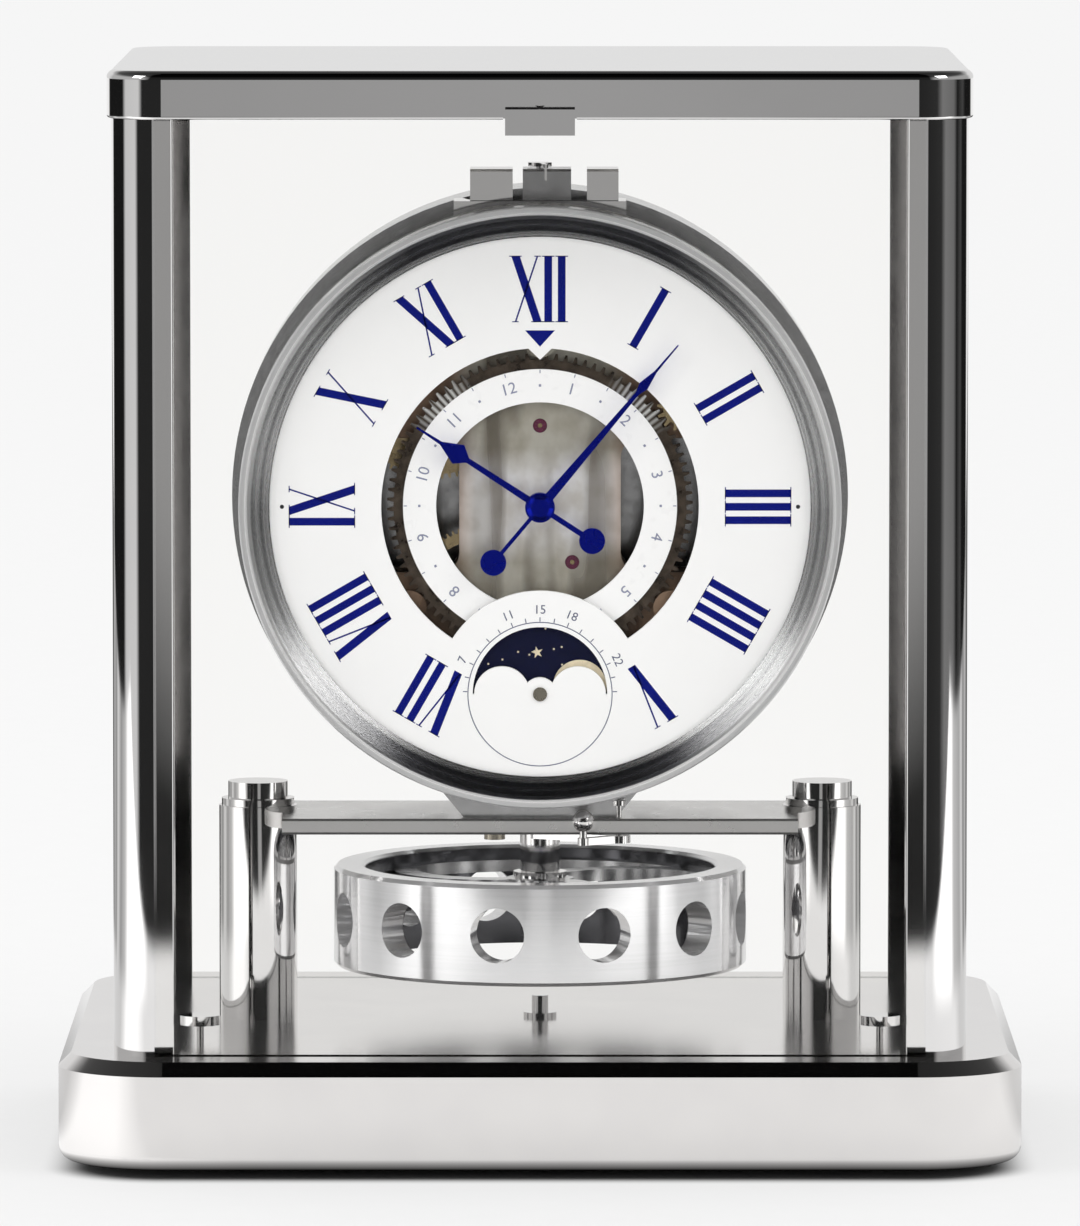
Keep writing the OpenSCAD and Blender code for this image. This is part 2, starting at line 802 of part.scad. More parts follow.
module pillar(side) {
  color("silver") mirror([side < 0 ? 1 : 0, 0, 0]) translate([pillar_x, 0, 0]) difference() {
    translate([0, 0, base_top]) cylinder(r = pillar_r, h = pillar_top - base_top);
    translate([0, 0, base_top - 1])
      cylinder(r = pillar_screw_r + slip_gap, h = screw_in + 1 + seat_gap);
    translate([0, 0, platform_z - 4])
      cylinder(r = pillar_stud_r + slip_gap, h = pillar_top);
    translate([-pillar_r - 1, -lug_w / 2 - seat_gap, platform_z])
      cube([pillar_r + 1 + lug_past + seat_gap, lug_w + 2 * seat_gap, platform_t]);
  }
}

module pillar_caps() {
  color("silver") for (side = [-1, 1]) translate([side * pillar_x, 0, pillar_top]) {
    cylinder(r = pillar_tier_r, h = pillar_tier_h);
    translate([0, 0, pillar_tier_h - eps]) cylinder(r = pillar_disc_r, h = pillar_disc_h);
    translate([0, 0, platform_z - 3.5 - pillar_top])
      cylinder(r = pillar_stud_r, h = pillar_top - platform_z + 3.5 + eps);
  }
}

module platform() {
  color("silver") difference() {
    union() {
      difference() {
        translate([-platform_w / 2, -platform_d / 2, platform_z])
          cube([platform_w, platform_d, platform_t]);
        for (side = [-1, 1]) translate([side * pillar_x, 0, platform_z - 1])
          cylinder(r = pillar_r + run_gap, h = platform_t + 2);
      }
      translate([-(pillar_x + lug_past), -lug_w / 2, platform_z])
        cube([2 * (pillar_x + lug_past), lug_w, platform_t]);
    }
    for (side = [-1, 1]) translate([side * pillar_x, 0, platform_z - 1])
      cylinder(r = pillar_stud_r + seat_gap, h = platform_t + 2);
    translate([0, 0, platform_z - 1]) cylinder(r = staff_hole_r, h = platform_t + 2);
    translate([lever_pos.x, lever_pos.y, platform_z - 1])
      cylinder(r = lever_pin_r + run_gap, h = platform_t + 2);
    for (at = cradle_screw_at) translate([at.x, at.y, platform_z - 1])
      cylinder(r = cradle_screw_r + seat_gap, h = platform_t + 2);
  }
}

module stop_post() {
  color("silver") {
    translate([0, 0, base_top]) cylinder(r = stop_post_r, h = stop_post_h);
    translate([0, 0, base_top]) cylinder(r = stop_foot_r, h = stop_foot_h);
    translate([0, 0, base_top - stop_tenon_h])
      cylinder(r = stop_tenon_r, h = stop_tenon_h + eps);
  }
}

module lock_lever() {
  tail = lever_pos + polar(lever_tail_angle, lever_tail);
  arm = lever_knob - lever_pos;
  color("silver") {
    translate([0, 0, lever_z]) linear_extrude(lever_t) {
      translate(lever_pos) {
        circle(r = lever_w * 0.8);
        rotate(lever_tail_angle) translate([0, -lever_w / 2]) square([lever_tail, lever_w]);
        rotate(atan2(arm.y, arm.x)) translate([0, -lever_w / 3])
          square([norm(arm), lever_w * 2 / 3]);
      }
      translate(tail) circle(r = lever_w / 2);
      translate(lever_knob) circle(r = lever_w / 2.5);
    }
    translate([lever_knob.x, lever_knob.y, lever_z])
      cylinder(r = lever_pin_r + 0.2, h = lever_ball_z - lever_z);
    translate([lever_knob.x, lever_knob.y, lever_ball_z]) sphere(r = lever_ball_r);
    translate([lever_pos.x, lever_pos.y, lever_z])
      cylinder(r = lever_pin_r, h = lever_pin_top - lever_z);
    translate([lever_pos.x, lever_pos.y, lever_pin_top - lever_pin_head_h])
      cylinder(r = lever_pin_head_r, h = lever_pin_head_h);
  }
}

// Pendulum

module pendulum_ring() {
  color("lightgray") difference() {
    rotate_extrude() difference() {
      union() {
        translate([ring_in, ring_bottom]) square([ring_wall, ring_h]);
        translate([ring_in - shelf_w, spider_z - shelf_h]) square([shelf_w + eps, shelf_h]);
      }
      for (level = [ring_bottom, ring_top]) translate([ring_r, level]) rotate(45)
        square(ring_edge * sqrt(2), center = true);
      translate([ring_in, ring_top]) rotate(45) square(ring_edge * sqrt(2), center = true);
    }
    for (i = [0:ring_holes - 1])
      rotate(ring_turn - 90 + 360 * i / ring_holes) translate([0, 0, ring_hole_z])
        rotate([0, 90, 0]) cylinder(r = ring_hole_dia / 2, h = ring_r + 1);
  }
}

module spider_plan() {
  difference() {
    circle(r = ring_in - run_gap);
    circle(r = ring_in - spider_rim);
  }
  circle(r = hub_flange_r);
  arc_r = ring_in * 0.52;
  for (i = [0:ring_arms - 1]) rotate(360 * i / ring_arms) intersection() {
    circle(r = ring_in - spider_rim / 2);
    translate([0, 0]) square([2 * ring_in, ring_in]);
    translate([arc_r, 0]) difference() {
      circle(r = arc_r + arm_w / 2);
      circle(r = arc_r - arm_w / 2);
    }
  }
}

module pendulum_spider() {
  color("silver") translate([0, 0, spider_z]) linear_extrude(spider_t) difference() {
    spider_plan();
    circle(r = hub_r + slip_gap);
  }
}

module pendulum_hub() {
  color("silver") {
    translate([0, 0, hub_bottom]) cylinder(r = hub_r, h = hub_top - hub_bottom);
    translate([0, 0, spider_z + spider_t]) cylinder(r = hub_nut_r, h = hub_nut_h);
    translate([0, 0, spider_z - hub_flange_h]) cylinder(r = hub_flange_r, h = hub_flange_h);
    translate([0, 0, hub_top - eps]) cylinder(r = staff_r, h = staff_top - hub_top + eps);
    translate([0, 0, staff_top - collet_h]) cylinder(r = collet_r, h = collet_h);
  }
}

module impulse_roller() {
  color("goldenrod") difference() {
    union() {
      translate([0, 0, roller_z]) cylinder(r = roller_r, h = roller_t);
      translate([0, -roller_pin_at, roller_z + roller_t - eps])
        cylinder(r = roller_pin_r, h = roller_pin_h);
    }
    translate([0, 0, roller_z - 1]) cylinder(r = staff_r + slip_gap, h = roller_t + 2);
  }
}

module suspension_wire() {
  color("lightsteelblue") translate([0, 0, staff_top])
    cylinder(r = wire_r, h = wire_top - staff_top);
}

module suspension_tube() {
  color("silver") difference() {
    translate([0, 0, tube_bottom]) cylinder(r = tube_r, h = bridge_top - tube_bottom);
    translate([0, 0, tube_bottom - 1]) cylinder(r = tube_in, h = bridge_top - tube_bottom + 2);
  }
}

// Suspension bridge

module block(span, height, root = 0) {
  translate([span[0], -block_front, bridge_top])
    rotate([90, 0, 90]) linear_extrude(span[1] - span[0])
      difference() {
        translate([0, -root]) square([block_front - block_back, height + root]);
        for (x = [0, block_front - block_back]) translate([x, height]) rotate(45)
          square(block_edge * sqrt(2), center = true);
      }
}

module top_bridge() {
  color("silver") difference() {
    union() {
      sheet(bridge_back, bridge_front) difference() {
        translate([-bridge_w / 2, mring_r * 0.9])
          square([bridge_w, bridge_top - dial_z - mring_r * 0.9]);
        circle(r = mring_r);
      }
      block(left_block, block_h, bridge_t / 2);
      block(right_block, block_h, bridge_t / 2);
    }
    translate([0, 0, dial_z]) cylinder(r = tube_r + slip_gap, h = bridge_top - dial_z + 1);
  }
}

module suspension_head() {
  color("gainsboro") difference() {
    block(head_block, block_h);
    translate([0, 0, bridge_top - 1]) cylinder(r = wire_r + slip_gap, h = wire_top - bridge_top + 1);
    translate([0, 0, bridge_top + block_h - index_pin_h - seat_gap])
      cylinder(r = index_pin_r + run_gap, h = index_pin_h + 1);
  }
}

module regulator_index() {
  z = bridge_top + block_h + soft_gap;
  color("steelblue") {
    translate([0, 0, z - soft_gap - index_pin_h])
      cylinder(r = index_pin_r, h = index_pin_h + soft_gap + eps);
    translate([0, 0, z]) linear_extrude(index_t) {
      circle(r = index_disc_r);
      rotate(atan2(index_reach.y, index_reach.x)) translate([0, -index_w / 2])
        square([norm(index_reach), index_w]);
    }
    translate([index_reach.x - index_w / 4, index_reach.y - index_w / 4, z + index_t - index_needle])
      cube([index_w / 2, index_w / 2, index_needle]);
  }
}

// Case of the movement

module movement_ring() {
  color("silver") difference() {
    turned() difference() {
      union() {
        translate([mring_in, mring_back]) square([mring_wall, mring_front - mring_back]);
        translate([mring_in - ledge_w, plate_back - ledge_t]) square([ledge_w + eps, ledge_t]);
      }
      for (i = [1:mring_grooves])
        translate([mring_r - groove_deep, mring_back + i * groove_pitch - groove_w / 2])
          square([groove_deep + 1, groove_w]);
    }
    translate([0, 0, dial_z]) cylinder(r = tube_r + slip_gap, h = mring_r + 1);
    translate([0, 0, dial_z - mring_r - 1]) cylinder(r = staff_hole_r, h = mring_r);
  }
}

module bezel() {
  color("dimgray") turned() polygon([
    [dial_r, dial_front], [dial_r, dial_front + bezel_lip],
    [dial_r + bezel_slope, bezel_front - 0.6], [bezel_r - bezel_rim, bezel_front],
    [bezel_r - 0.3, bezel_front], [bezel_r, bezel_front - 0.3], [bezel_r, bezel_back],
    [dial_r + dial_edge + seat_gap, bezel_back], [dial_r + dial_edge + seat_gap, dial_front]
  ]);
}

module moon_window() {
  difference() {
    intersection() {
      circle(r = moon_window_r);
      translate([-moon_window_r, 0]) square([2 * moon_window_r, moon_window_r]);
    }
    for (side = [-1, 1]) translate([side * hump_x, 0]) circle(r = hump_r);
    circle(r = moon_hub_window_r);
  }
}

module dial() {
  color("white") {
    difference() {
      sheet(dial_back, dial_front) difference() {
        union() {
          difference() {
            circle(r = dial_r + dial_edge);
            circle(r = dial_hole_r);
          }
          polygon([[-pointer_w / 2, dial_hole_r], [0, dial_hole_r - pointer_drop],
            [pointer_w / 2, dial_hole_r], [0, dial_hole_r + 1]]);
          intersection() {
            translate(moon_pos) circle(r = moon_dial_r);
            circle(r = dial_r);
          }
        }
        translate(moon_pos) moon_window();
        translate(moon_pos) circle(r = moon_stud_r + seat_gap);
      }
    }
    for (at = dial_foot_at) {
      rod(at, dial_foot_shoulder, plate_front, dial_back + eps);
      rod(at, dial_foot_r, plate_back + 0.4, plate_front + eps);
    }
  }
}

module plate_windows() {
  for (side = [-1, 1]) translate([side * (window_in + window_out) / 2, 0])
    rounded_plan(window_out - window_in, window_h, window_r);
}

module front_plate() {
  color("silver") {
    difference() {
      sheet(plate_back, plate_front) difference() {
        circle(r = plate_r);
        plate_windows();
        circle(r = hour_pipe_r + run_gap);
        for (at = dial_foot_at) translate(at) circle(r = dial_foot_r + slip_gap);
        for (at = post_at) translate(at) circle(r = plate_screw_r + slip_gap);
        for (at = [intermediate_pos, escape_pos, pallet_pos]) translate(at) circle(r = jewel_r);
        translate(day_pos) circle(r = arbor_r + run_gap);
        translate(month_pinion_pos) circle(r = arbor_r + run_gap);
        translate(barrel_pos) circle(r = barrel_pivot_r + run_gap);
        translate(moon_pos) circle(r = moon_stud_r);
      }
    }
    rod(minute_pos, arbor_r, minute_layer - wheel_t - 0.2, plate_back + eps);
    for (angle = month_guide_angles) {
      at = polar(angle, guide_at_r);
      rod(at, guide_core_r, plate_front - eps, month_front + 0.2);
      rod(at, guide_flange_r, month_front + 0.2 - eps, month_front + 0.2 + guide_flange_t);
      rod(at, guide_flange_r, month_back - 0.2 - guide_flange_t, month_back - 0.2);
    }
  }
}

module rear_plate() {
  color("silver") sheet(rear_back, rear_front) difference() {
    circle(r = plate_r);
    plate_windows();
    for (at = post_at) translate(at) circle(r = plate_screw_r + slip_gap);
    for (at = [centre_pos, intermediate_pos, escape_pos, pallet_pos])
      translate(at) circle(r = jewel_r);
    translate(day_pos) circle(r = pivot_r + run_gap);
    translate(barrel_pos) circle(r = barrel_pivot_r + run_gap);
    translate([-staff_slot_w / 2, -plate_r - 1])
      square([staff_slot_w, plate_r + 1 + staff_top + staff_room - dial_z]);
  }
}

module plate_pillars() {
  color("silver") for (at = post_at) difference() {
    rod(at, plate_pillar_r, rear_front, plate_back);
    rod(at, plate_screw_r + slip_gap, rear_front - 1, rear_front + plate_screw_in + seat_gap);
    rod(at, plate_screw_r + slip_gap, plate_back - plate_screw_in - seat_gap, plate_back + 1);
  }
}

module movement_screws() {
  color("lightsteelblue") {
    for (at = post_at) {
      rod(at, plate_screw_head_r, plate_front, plate_front + plate_screw_head_h);
      rod(at, plate_screw_r, plate_back - plate_screw_in, plate_front + eps);
      rod(at, plate_screw_head_r, rear_back - plate_screw_head_h, rear_back);
      rod(at, plate_screw_r, rear_back - eps, rear_front + plate_screw_in);
    }
    rod(moon_pos, moon_stud_r, plate_back + 0.2, dial_front + eps);
    rod(moon_pos, moon_stud_head_r, dial_front, dial_front + moon_stud_head_t);
    for (at = cradle_screw_at)
      screw_up(at, platform_z, cradle_screw_r, plate_screw_head_r, 1.6,
        platform_t + cradle_screw_in);
  }
}

module jewel(at, back) {
  turned(at) translate([pivot_r + run_gap, back + jewel_inset])
    square([jewel_r - pivot_r - run_gap, plate_t - 2 * jewel_inset]);
}

module jewels() {
  color("crimson") {
    for (at = [intermediate_pos, escape_pos, pallet_pos]) jewel(at, plate_back);
    for (at = [centre_pos, intermediate_pos, escape_pos, pallet_pos]) jewel(at, rear_back);
  }
}

module cradle() {
  bottom = platform_top - dial_z;
  color("silver") difference() {
    sheet(cradle_back, cradle_front) difference() {
      polygon([[-cradle_bottom_w / 2, bottom], [cradle_bottom_w / 2, bottom],
        [cradle_top_w / 2, bottom + cradle_top], [-cradle_top_w / 2, bottom + cradle_top]]);
      circle(r = mring_r);
    }
    translate([-cradle_slot / 2, -cradle_slot / 2, platform_top - 1])
      cube([cradle_slot, cradle_slot + 10, 20]);
    for (at = cradle_screw_at) translate([at.x, at.y, platform_top - 1])
      cylinder(r = cradle_screw_r + slip_gap, h = cradle_screw_in + 1 + seat_gap);
  }
}

// Calendar and moon

module month_ring() {
  color("whitesmoke") {
    sheet(month_back, month_front) difference() {
      gear_plan(month_teeth, month_module, month_turn);
      circle(r = month_hole_r);
    }
    sheet(month_front - eps, month_front + month_face_t) difference() {
      circle(r = month_r);
      circle(r = month_hole_r);
    }
  }
}

module month_pinion() {
  color("goldenrod") {
    gear(month_pinion_pos, month_pinion_teeth, month_module, month_pinion_turn,
      month_back - 0.1, month_front + 0.1);
    rod(month_pinion_pos, arbor_r, plate_back - 0.8, month_front);
    rod(month_pinion_pos, arbor_r * 2, plate_back - 0.8, plate_back - 0.2);
  }
}

module moon_disc() {
  color("midnightblue") difference() {
    union() {
      rod(moon_pos, moon_disc_r, moon_front - moon_t, moon_front);
      rod(moon_pos, moon_hub_r, moon_star_back, moon_front);
      sheet(moon_star_back, moon_star_front) translate(moon_pos)
        polygon([for (i = [0:2 * moon_star_teeth - 1])
          polar(180 * i / moon_star_teeth, i % 2 == 0 ? moon_star_r : moon_star_r - 0.8)]);
    }
    rod(moon_pos, moon_stud_r + run_gap, plate_front, dial_front);
  }
}

// Motion work and hands

module hour_wheel() {
  color("goldenrod") difference() {
    union() {
      gear(centre_pos, hour_teeth, hour_module, hour_turn, hour_layer - wheel_t, hour_layer);
      rod(centre_pos, hour_pipe_r, hour_layer - wheel_t, hour_hand_back);
      rod(centre_pos, hour_pipe_r - pipe_step, hour_layer, hour_hand_back + hand_t);
    }
    rod(centre_pos, cannon_pipe_r + run_gap, hour_layer - wheel_t - 1, minute_hand_back);
  }
}

module day_wheel() {
  color("goldenrod") {
    wheel(day_pos, day_teeth, hour_module, day_turn, hour_layer - wheel_t, hour_layer, 5);
    rod(day_pos, arbor_r, rear_front + 0.2, moon_star_front);
    rod(day_pos, pivot_r, rear_back + 0.2, rear_front + 0.3);
    sheet(moon_star_back, moon_star_front) translate(day_pos) rotate(180) polygon([
      [0, -1.4], [star_finger, -0.3], [star_finger, 0.3], [0, 1.4], [-1.4, 0]]);
  }
}

module minute_wheel() {
  color("goldenrod") difference() {
    union() {
      wheel(minute_pos, minute_teeth, cannon_module, minute_turn,
        minute_layer - wheel_t, minute_layer, 4);
      gear(minute_pos, minute_pinion_teeth, hour_module, minute_pinion_turn,
        minute_layer - eps, hour_layer);
    }
    rod(minute_pos, arbor_r + run_gap, minute_layer - wheel_t - 1, plate_back);
  }
}

module cannon_pinion() {
  color("silver") difference() {
    union() {
      gear(centre_pos, cannon_teeth, cannon_module, cannon_turn,
        minute_layer - wheel_t - 0.1, minute_layer + 0.1);
      rod(centre_pos, cannon_pipe_r, minute_layer - wheel_t, minute_hand_back);
      rod(centre_pos, cannon_pipe_r - pipe_step, minute_layer, minute_hand_back + hand_t);
    }
    rod(centre_pos, centre_arbor_r + slip_gap, minute_layer - wheel_t - 1,
      minute_hand_back + hand_t + 1);
  }
}

// Blued hand along +x, with a slim leaf near its tip and a disc on its tail
module hand_plan(length, tail, w_hub, w_mid, leaf_at, leaf_len, leaf_w) {
  leaf_in = leaf_at - leaf_len / 2;
  leaf_out = leaf_at + leaf_len / 2;
  polygon([[0, -w_hub / 2], [leaf_in, -w_mid / 2], [leaf_in, w_mid / 2], [0, w_hub / 2]]);
  polygon([[leaf_in - eps, -w_mid / 2], [leaf_in + leaf_len * 0.35, -leaf_w / 2],
    [leaf_out, -w_mid / 3], [length, -w_mid / 6], [length, w_mid / 6],
    [leaf_out, w_mid / 3], [leaf_in + leaf_len * 0.35, leaf_w / 2], [leaf_in - eps, w_mid / 2]]);
  translate([-tail, -w_mid / 2]) square([tail, w_mid]);
  translate([-tail, 0]) circle(r = hand_disc_r);
  circle(r = hand_hub_r);
}

module hour_hand() {
  color("mediumblue") sheet(hour_hand_back, hour_hand_back + hand_t) difference() {
    rotate(90 - hour_angle)
      hand_plan(hour_len, hour_tail, 1.5, 1.1, hour_leaf_at, 6.6, 4.6);
    circle(r = hour_pipe_r - pipe_step + slip_gap);
  }
}

module minute_hand() {
  color("mediumblue") sheet(minute_hand_back, minute_hand_back + hand_t) difference() {
    rotate(90 - minute_angle)
      hand_plan(minute_len, minute_tail, 2.1, 0.8, minute_leaf_at, 6, 2.1);
    circle(r = cannon_pipe_r - pipe_step + slip_gap);
  }
}

module hand_nut() {
  color("mediumblue") difference() {
    turned() translate([0, minute_hand_back + hand_t])
      polygon([[0, 0], [hand_hub_r - 0.4, 0], [hand_hub_r - 0.4, nut_t * 0.5],
        [hand_hub_r * 0.6, nut_t], [0, nut_t]]);
    rod(centre_pos, centre_arbor_r + slip_gap, minute_hand_back, minute_hand_back + hand_t
      + nut_t * 0.6);
  }
}

// Going train

module centre_wheel() {
  color("goldenrod") {
    wheel(centre_pos, centre_teeth, escape_module, centre_turn,
      centre_layer - wheel_t, centre_layer, 5);
    gear(centre_pos, centre_pinion_teeth, centre_module, centre_pinion_turn,
      intermediate_layer - wheel_t - 0.3, intermediate_layer + 0.3);
    rod(centre_pos, centre_arbor_r, rear_front + 0.2,
      minute_hand_back + hand_t + nut_t * 0.5);
    rod(centre_pos, pivot_r, rear_back + 0.2, rear_front + 0.3);
  }
}

module pivoted_arbor(pos) {
  rod(pos, arbor_r, rear_front + 0.2, plate_back - 0.2);
  rod(pos, pivot_r, rear_back + 0.2, plate_front - 0.2);
}

module intermediate_wheel() {
  color("goldenrod") {
    wheel(intermediate_pos, intermediate_teeth, centre_module, intermediate_turn,
      intermediate_layer - wheel_t, intermediate_layer, 5);
    gear(intermediate_pos, intermediate_pinion_teeth, barrel_module, intermediate_pinion_turn,
      great_layer - wheel_t - 0.3, great_layer + 0.3);
    pivoted_arbor(intermediate_pos);
  }
}

module mainspring_barrel() {
  great_r = barrel_module * great_teeth / 2;
  color("goldenrod") {
    gear(barrel_pos, great_teeth, barrel_module, great_turn, great_layer - wheel_t, great_layer);
    rod(barrel_pos, great_r * 0.84, great_layer - wheel_t - barrel_drum_h, great_layer - eps);
    rod(barrel_pos, barrel_arbor_r, rear_front + 0.2, plate_back - 0.2);
    rod(barrel_pos, barrel_pivot_r, rear_back + 0.2, plate_front - 0.2);
  }
}

module escape_wheel() {
  color("goldenrod") {
    gear(escape_pos, escape_pinion_teeth, escape_module, escape_pinion_turn,
      centre_layer - wheel_t - 0.3, centre_layer + 0.3);
    sheet(escape_layer - escape_wheel_t, escape_layer) difference() {
      translate(escape_pos) polygon([for (i = [0:escape_teeth - 1])
        for (corner = [[0.76, 0], [1, 0.02], [0.99, 0.14], [0.76, 0.42]])
          polar(-360 * (i + corner[1]) / escape_teeth, escape_r * corner[0])]);
      crossings(escape_pos, escape_r * 0.22, escape_r * 0.62, 4, escape_r * 0.14);
    }
    pivoted_arbor(escape_pos);
  }
}

// Pallet lever: an anchor that spans the escape wheel, and a tail that reaches
// back to the impulse roller
module pallet_lever() {
  line = heading(pallet_pos, escape_pos);
  stone_r = escape_r + pallet_reach;
  stone_spread = 38;
  fork = [0, roller_z + roller_t + 0.4 - dial_z];
  fork_w = 3;
  fork_h = 1.6;
  tail = fork + [0, fork_h / 2] - pallet_pos;
  color("goldenrod") {
    sheet(escape_layer - escape_wheel_t, escape_layer) {
      intersection() {
        translate(escape_pos) difference() {
          circle(r = stone_r + 1.6);
          circle(r = stone_r);
        }
        translate(escape_pos) rotate(line + 180) polygon([[0, 0],
          polar(-stone_spread, 3 * escape_r), [3 * escape_r, 0], polar(stone_spread, 3 * escape_r)]);
      }
      translate(pallet_pos) rotate(line) translate([0, -1])
        square([norm(pallet_pos - escape_pos) - stone_r - 0.2, 2]);
      translate(pallet_pos) circle(r = 1.8);
      translate(pallet_pos) rotate(atan2(tail.y, tail.x)) translate([0, -0.6])
        square([norm(tail), 1.2]);
    }
    sheet(rear_back - 1.6, escape_layer) translate(fork) difference() {
      translate([-fork_w / 2, 0]) square([fork_w, fork_h]);
    }
    rod(pallet_pos, arbor_r, rear_front + 0.2, plate_back - 0.2);
    rod(pallet_pos, pivot_r, rear_back + 0.2, plate_front - 0.2);
  }
}

// Drum with the gas capsule

module drum_shell() {
  color("silver") difference() {
    rod(centre_pos, drum_r, drum_back, drum_front);
    rod(centre_pos, drum_r - drum_wall, drum_back - 1, drum_front - drum_front_wall);
    rod(centre_pos, drum_hole_r, drum_back, drum_front + 1);
  }
}

module drum_cover() {
  cover_r = drum_r - drum_wall - seat_gap;
  color("silver") {
    rod(centre_pos, cover_r, drum_back, drum_back + drum_cover_t);
    for (i = [0:cover_ridges - 1]) turned()
      translate([cover_r - 3 - i * 2.2 * cover_ridge_w - cover_ridge_w, drum_back - cover_ridge_h])
        square([cover_ridge_w, cover_ridge_h + eps]);
    rod(centre_pos, cover_boss_r, drum_back - cover_boss_h, drum_back + eps);
  }
}

module bellows() {
  length = bellows_front - bellows_back;
  pitch = length / bellows_folds;
  outer = [for (i = [0:2 * bellows_folds])
    [bellows_r - (i % 2 == 0 ? bellows_fold : 0), bellows_back + i * pitch / 2]];
  inner = [for (i = [2 * bellows_folds:-1:0])
    [bellows_r - bellows_wall - (i % 2 == 0 ? bellows_fold : 0), bellows_back + i * pitch / 2]];
  color("goldenrod") {
    turned() polygon(concat(outer, inner));
    rod(centre_pos, bellows_r - bellows_fold, bellows_front - bellows_wall, bellows_front);
    difference() {
      rod(centre_pos, bellows_r - bellows_fold, bellows_back, bellows_back + bellows_wall);
      rod(centre_pos, 1, bellows_back - 1, bellows_back + 2);
    }
  }
}

// Helical spring inside the bellows, one unbroken tube
module capsule_spring() {
  back = bellows_back + bellows_wall + capsule_wire_r + 0.05;
  front = bellows_front - bellows_wall - capsule_wire_r - 0.05;
  rings = capsule_coils * coil_steps;
  points = [for (i = [0:rings]) for (j = [0:coil_sides - 1])
    let (turn = 360 * i / coil_steps, side = 360 * j / coil_sides,
      r = capsule_coil_r + capsule_wire_r * cos(side))
      [r * cos(turn), r * sin(turn),
        back + (front - back) * i / rings + capsule_wire_r * sin(side)]];
  sides = [for (i = [0:rings - 1]) for (j = [0:coil_sides - 1])
    let (k = (j + 1) % coil_sides, a = i * coil_sides, b = a + coil_sides)
      each [[a + j, b + k, b + j], [a + j, a + k, b + k]]];
  start_face = [[for (j = [coil_sides - 1:-1:0]) j]];
  end_face = [[for (j = [0:coil_sides - 1]) rings * coil_sides + j]];
  color("silver") translate([0, 0, dial_z]) rotate([90, 0, 0])
    polyhedron(points, concat(sides, start_face, end_face), convexity = 10);
}

base_plinth();
base_cover();
base_screws();
rear_foot();
level_screw(-1);  // level_screw_left
level_screw(1);  // level_screw_right
corner_post(-1, -1, soft_gap);  // post_front_left
corner_post(1, -1, soft_gap);  // post_front_right
corner_post(-1, 1, 0);  // post_rear_left
corner_post(1, 1, 0);  // post_rear_right
side_glass(-1);  // glass_left
side_glass(1);  // glass_right
glass_rear();
front_glass();
door_pull();
door_catch();
cap();
pillar(-1);  // pillar_left
pillar(1);  // pillar_right
pillar_caps();
platform();
cradle();
movement_screws();
stop_post();
lock_lever();
pendulum_ring();
pendulum_spider();
pendulum_hub();
impulse_roller();
suspension_wire();
suspension_tube();
top_bridge();
suspension_head();
regulator_index();
movement_ring();
bezel();
dial();
front_plate();
rear_plate();
plate_pillars();
jewels();
month_ring();
month_pinion();
moon_disc();
hour_wheel();
hour_hand();
minute_wheel();
minute_hand();
centre_wheel();
cannon_pinion();
hand_nut();
intermediate_wheel();
mainspring_barrel();
escape_wheel();
pallet_lever();
day_wheel();
drum_shell();
drum_cover();
bellows();
capsule_spring();
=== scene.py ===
"""Moon phase desk clock: looks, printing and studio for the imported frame.

Every length is in metres, in the frame of the CAD model: the dial faces -Y,
+Z is up and the pendulum hangs on the Z axis.
"""
import json
import math
from math import cos, radians, sin

import bmesh
import bpy
from bpy.props import FloatProperty, FloatVectorProperty, IntProperty, PointerProperty
from bpy.types import Operator, Panel, PropertyGroup
from mathutils import Matrix, Vector


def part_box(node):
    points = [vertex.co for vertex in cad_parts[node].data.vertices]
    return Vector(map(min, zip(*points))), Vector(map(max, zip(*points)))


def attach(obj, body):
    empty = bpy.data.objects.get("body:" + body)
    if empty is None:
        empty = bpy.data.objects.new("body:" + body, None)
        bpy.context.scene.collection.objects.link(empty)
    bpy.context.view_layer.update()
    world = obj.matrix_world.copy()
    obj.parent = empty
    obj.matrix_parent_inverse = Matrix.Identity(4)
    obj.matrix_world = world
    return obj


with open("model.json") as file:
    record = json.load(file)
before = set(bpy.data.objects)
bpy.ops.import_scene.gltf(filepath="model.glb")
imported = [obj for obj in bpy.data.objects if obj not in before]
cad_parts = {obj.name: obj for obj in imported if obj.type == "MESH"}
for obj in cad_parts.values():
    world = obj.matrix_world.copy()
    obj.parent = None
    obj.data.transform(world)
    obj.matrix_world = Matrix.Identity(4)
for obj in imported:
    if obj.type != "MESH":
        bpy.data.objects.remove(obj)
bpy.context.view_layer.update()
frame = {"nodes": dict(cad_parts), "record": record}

bl_info = {
    "name": "Moon Phase Desk Clock",
    "version": (1, 0, 0),
    "blender": (4, 5, 0),
    "location": "3D View > Sidebar > Clock",
    "description": "Finishes, printing, moon and studio of a torsion pendulum clock",
    "category": "Object",
}

MM = 0.001

# Places that the frame gives
MONTH_LOW, MONTH_HIGH = (Vector(corner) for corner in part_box("month_ring"))
MOON_LOW, MOON_HIGH = (Vector(corner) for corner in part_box("moon_disc"))
BARREL_FRONT, BARREL_BACK = (corner[1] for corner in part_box("movement_ring"))
PLATFORM_LOW, PLATFORM_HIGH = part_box("platform")
PLINTH_LOW, PLINTH_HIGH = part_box("base_plinth")
DIAL_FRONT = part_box("dial")[0][1]
DIAL_Z = (MONTH_LOW.z + MONTH_HIGH.z) / 2
MOON_Z = (MOON_LOW.z + MOON_HIGH.z) / 2
MOON_DISC_R = (MOON_HIGH.x - MOON_LOW.x) / 2
RING_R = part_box("pendulum_ring")[1][0]

